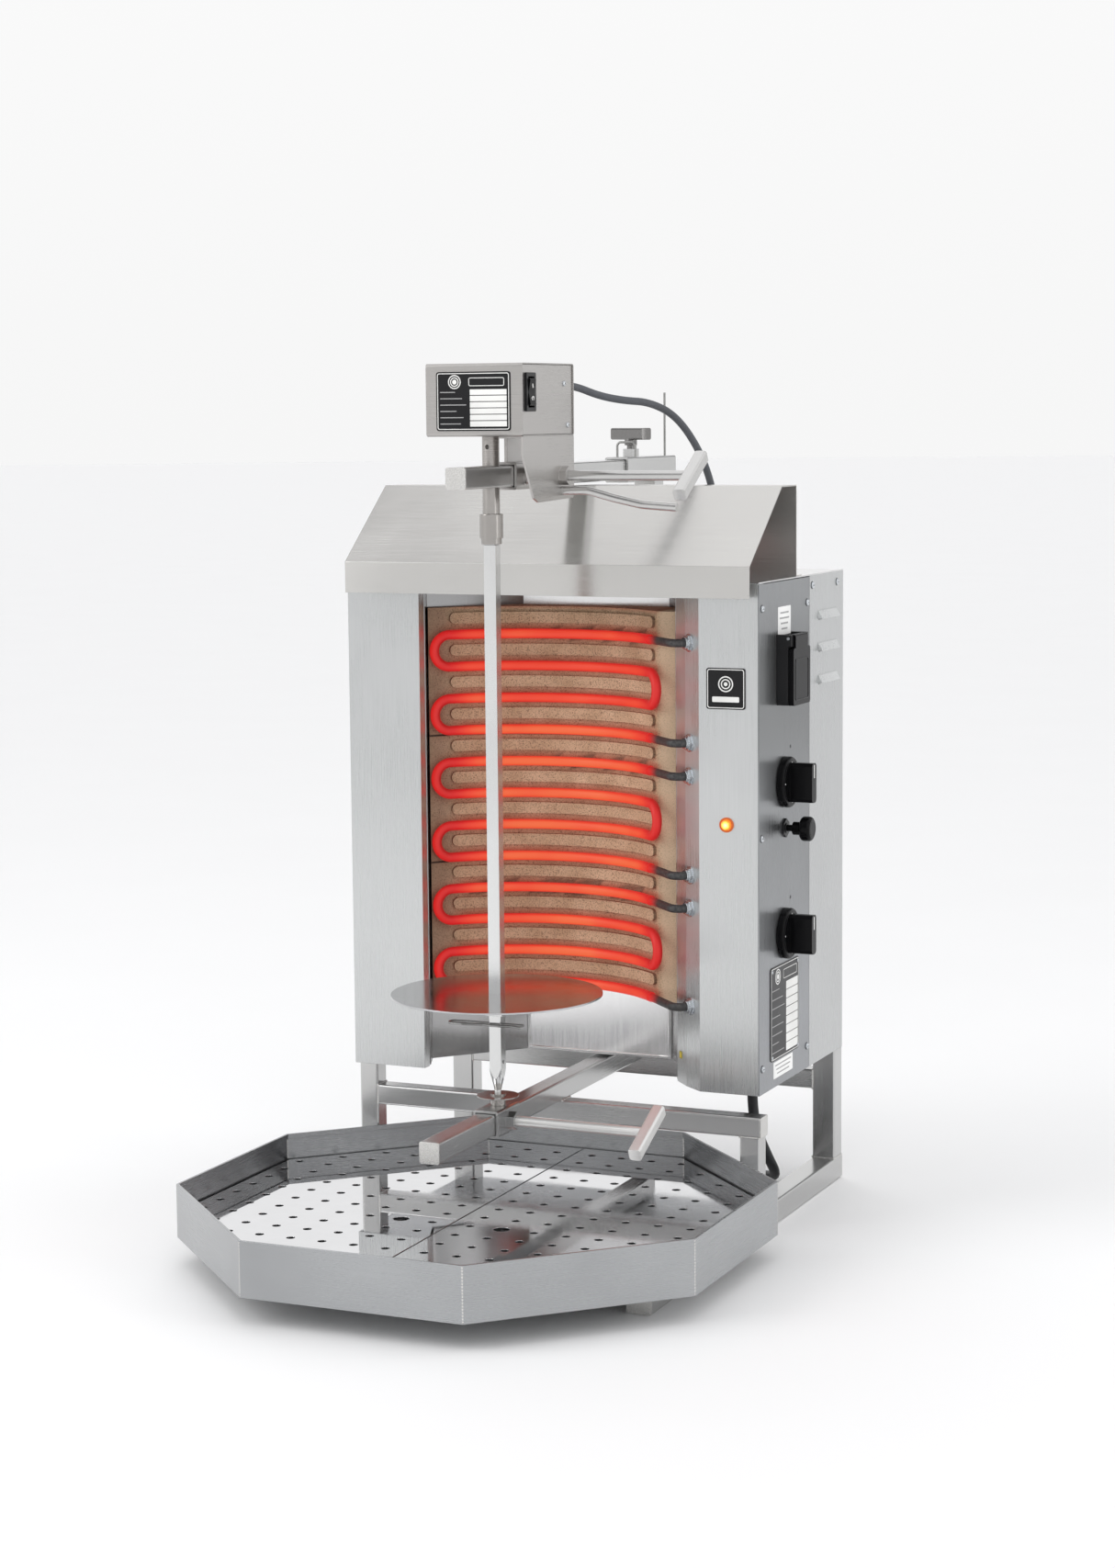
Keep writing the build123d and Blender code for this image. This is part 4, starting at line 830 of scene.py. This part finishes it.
# Painted shade: a thin black ring round each screw head on the right cover.
for i, (y, z) in enumerate([(90, 755), (253, 753), (88, 482), (253, 200), (90, 203)] + TOP_SCREWS):
    screw_shade = on_cover(y / 1000, z / 1000)
    screw_shade.ring(0, 0, 4.9, 4.0, print_black, 0.0, 0.12)
    screw_shade.make("right_screw_shade_%d" % i, "root", "plate_black")

PAN_Y = -142
PAN_CORNER = 351.8 - 1.1    # from the pan's middle to the line of its corner beads
for i in range(8):
    angle = math.radians(22.5 + 45 * i)
    x, y = PAN_CORNER * math.cos(angle), PAN_Y + PAN_CORNER * math.sin(angle)
    weld("pan_corner_weld_%d" % i, [(x, y, 31.5), (x, y, 92.5)], "drip_pan", 1.15)

POST_FOOT = 30.6
RAIL_BOTTOM, RAIL_TOP = 120, 145


def weld_round(name, x0, x1, y0, y1, z, radius=1.3):
    """A bead round a level rectangle of the frame."""
    weld(name, [(x0, y0, z), (x1, y0, z), (x1, y1, z), (x0, y1, z)], "root", radius, True)


def weld_rail_end(name, x, y0, y1):
    """A bead round the end of a cross rail."""
    corners = [(x, y0, RAIL_BOTTOM), (x, y1, RAIL_BOTTOM), (x, y1, RAIL_TOP), (x, y0, RAIL_TOP)]
    weld(name, corners, "root", 1.3, True)


weld_round("post_weld_front_left", -266, -241, 81.5, 106.5, POST_FOOT)
weld_round("post_weld_front_right", 245, 270, 81.5, 106.5, POST_FOOT)
weld_round("post_weld_rear_left", -270.4, -241, 364, 393.4, POST_FOOT)
weld_round("post_weld_rear_right", 241, 270.4, 364, 393.4, POST_FOOT)
weld_rail_end("rail_weld_front_left", -241, 82, 106)
weld_round("rail_weld_front_right", 245, 270, 81.8, 106.2, RAIL_BOTTOM, 1.2)
weld_rail_end("rail_weld_rear_left", -241, 364.5, 388.5)
weld_rail_end("rail_weld_rear_right", 241, 364.5, 388.5)
for name, x in (("arm_weld_front", -12.5), ("arm_weld_front_right", 12.5)):
    weld(name, [(x, 81.5, RAIL_TOP), (x, 106.5, RAIL_TOP)], "root", 1.4)
weld("sleeve_nut_weld_upper", [(16.2, -22, 904), (16.2, -2, 904)], "motor_carriage", 1.2)

BEAD_Y, BEAD_FOOT, BEAD_TOP = 232.4, 176.5, 262
BEAD_CORNERS = [Vector((x, BEAD_Y, z)) for x, z in ((-97.5, BEAD_TOP), (-97.5, BEAD_FOOT),
                                                    (95.5, BEAD_FOOT), (95.5, BEAD_TOP))]
BEAD_STEPS = 12
bead = [a.lerp(b, step / BEAD_STEPS) / 1000 for a, b in zip(BEAD_CORNERS, BEAD_CORNERS[1:])
        for step in range(BEAD_STEPS)]
bead.append(BEAD_CORNERS[-1] / 1000)
tube("reflector_rim", bead, 0.0014, spit_steel, "root", 10)


# ---------------------------------------------------------------- floor, light, camera

FLOOR_RADIUS, FLOOR_SIDES, FLOOR_LEVEL = 60, 64, -0.0005
floor_mat = new_material("studio_floor", (0.95, 0.95, 0.95), 0.0, 0.75)
floor_tone = noise(floor_mat, 3.0, 2.0)
wire(floor_mat, ramp(floor_mat, floor_tone, [(0.3, (0.945, 0.945, 0.945)), (0.7, (0.955, 0.955, 0.955))]),
     shader_of(floor_mat).inputs["Base Color"])
floor_edge = [(x, y, FLOOR_LEVEL) for x, y in circle_outline(0, 0, FLOOR_RADIUS, FLOOR_SIDES)]
floor = piece("studio_floor", floor_edge, [tuple(range(FLOOR_SIDES))], [floor_mat], None)

SKY_STOPS = [(0.0, (0.685, 0.685, 0.685)), (0.16, (0.71, 0.71, 0.71)), (0.7, (0.92, 0.92, 0.93))]
SKY_STRENGTH = 1.35
BANDS_ROUND = 4.0           # dark bands round the sky, which bright steel mirrors
BAND_TONE = (0.20, 0.20, 0.205)
world = bpy.data.worlds.new("studio")
scene.world = world
world.use_nodes = True
background = world.node_tree.nodes["Background"]
place = world.node_tree.nodes.new("ShaderNodeTexCoord")
split = world.node_tree.nodes.new("ShaderNodeSeparateXYZ")
wire(world, place.outputs["Generated"], split.inputs["Vector"])
height = split.outputs["Z"]
azimuth = math_node(world, "ARCTAN2", split.outputs["X"], split.outputs["Y"])
wave = math_node(world, "SINE", math_node(world, "ADD", times(world, azimuth, BANDS_ROUND), 0.6))
band = times(world, remap(world, wave, 0.1, 0.75), remap(world, height, 0.17, 0.32),
             remap(world, height, 0.97, 0.80))
sky = mix_color(world, band, ramp(world, height, SKY_STOPS), BAND_TONE)
wire(world, sky, background.inputs["Color"])
background.inputs["Strength"].default_value = SKY_STRENGTH


def softbox(name, at, target, width, height, power):
    light = bpy.data.lights.new(name, "AREA")
    light.shape = "RECTANGLE"
    light.size, light.size_y = width, height
    light.energy = power
    thing = bpy.data.objects.new(name, light)
    thing.location = at
    thing.rotation_euler = (Vector(target) - Vector(at)).to_track_quat("-Z", "Y").to_euler()
    scene.collection.objects.link(thing)


softbox("key_left", (-2.4, -2.0, 2.2), (0, 0, 0.5), 1.8, 2.2, 30)
softbox("fill_right", (2.8, -0.4, 1.7), (0, 0.1, 0.5), 0.8, 2.0, 10)

CAMERA_AT = (1.4894, -3.3108, 0.9875)
YAW, PITCH, ROLL = math.radians(23.557), math.radians(6.925), math.radians(-0.510)
ahead = Vector((-math.sin(YAW) * math.cos(PITCH), math.cos(YAW) * math.cos(PITCH), -math.sin(PITCH)))
level = Vector((math.cos(YAW), math.sin(YAW), 0))
above = level.cross(ahead)
right = level * math.cos(ROLL) + above * math.sin(ROLL)
up = above * math.cos(ROLL) - level * math.sin(ROLL)
camera_data = bpy.data.cameras.new("camera")
camera_data.sensor_width = 36
camera_data.lens = 70.38
camera = bpy.data.objects.new("camera", camera_data)
turned = Matrix((right, up, -ahead)).transposed().to_4x4()
camera.matrix_world = Matrix.Translation(CAMERA_AT) @ turned
scene.collection.objects.link(camera)
scene.camera = camera
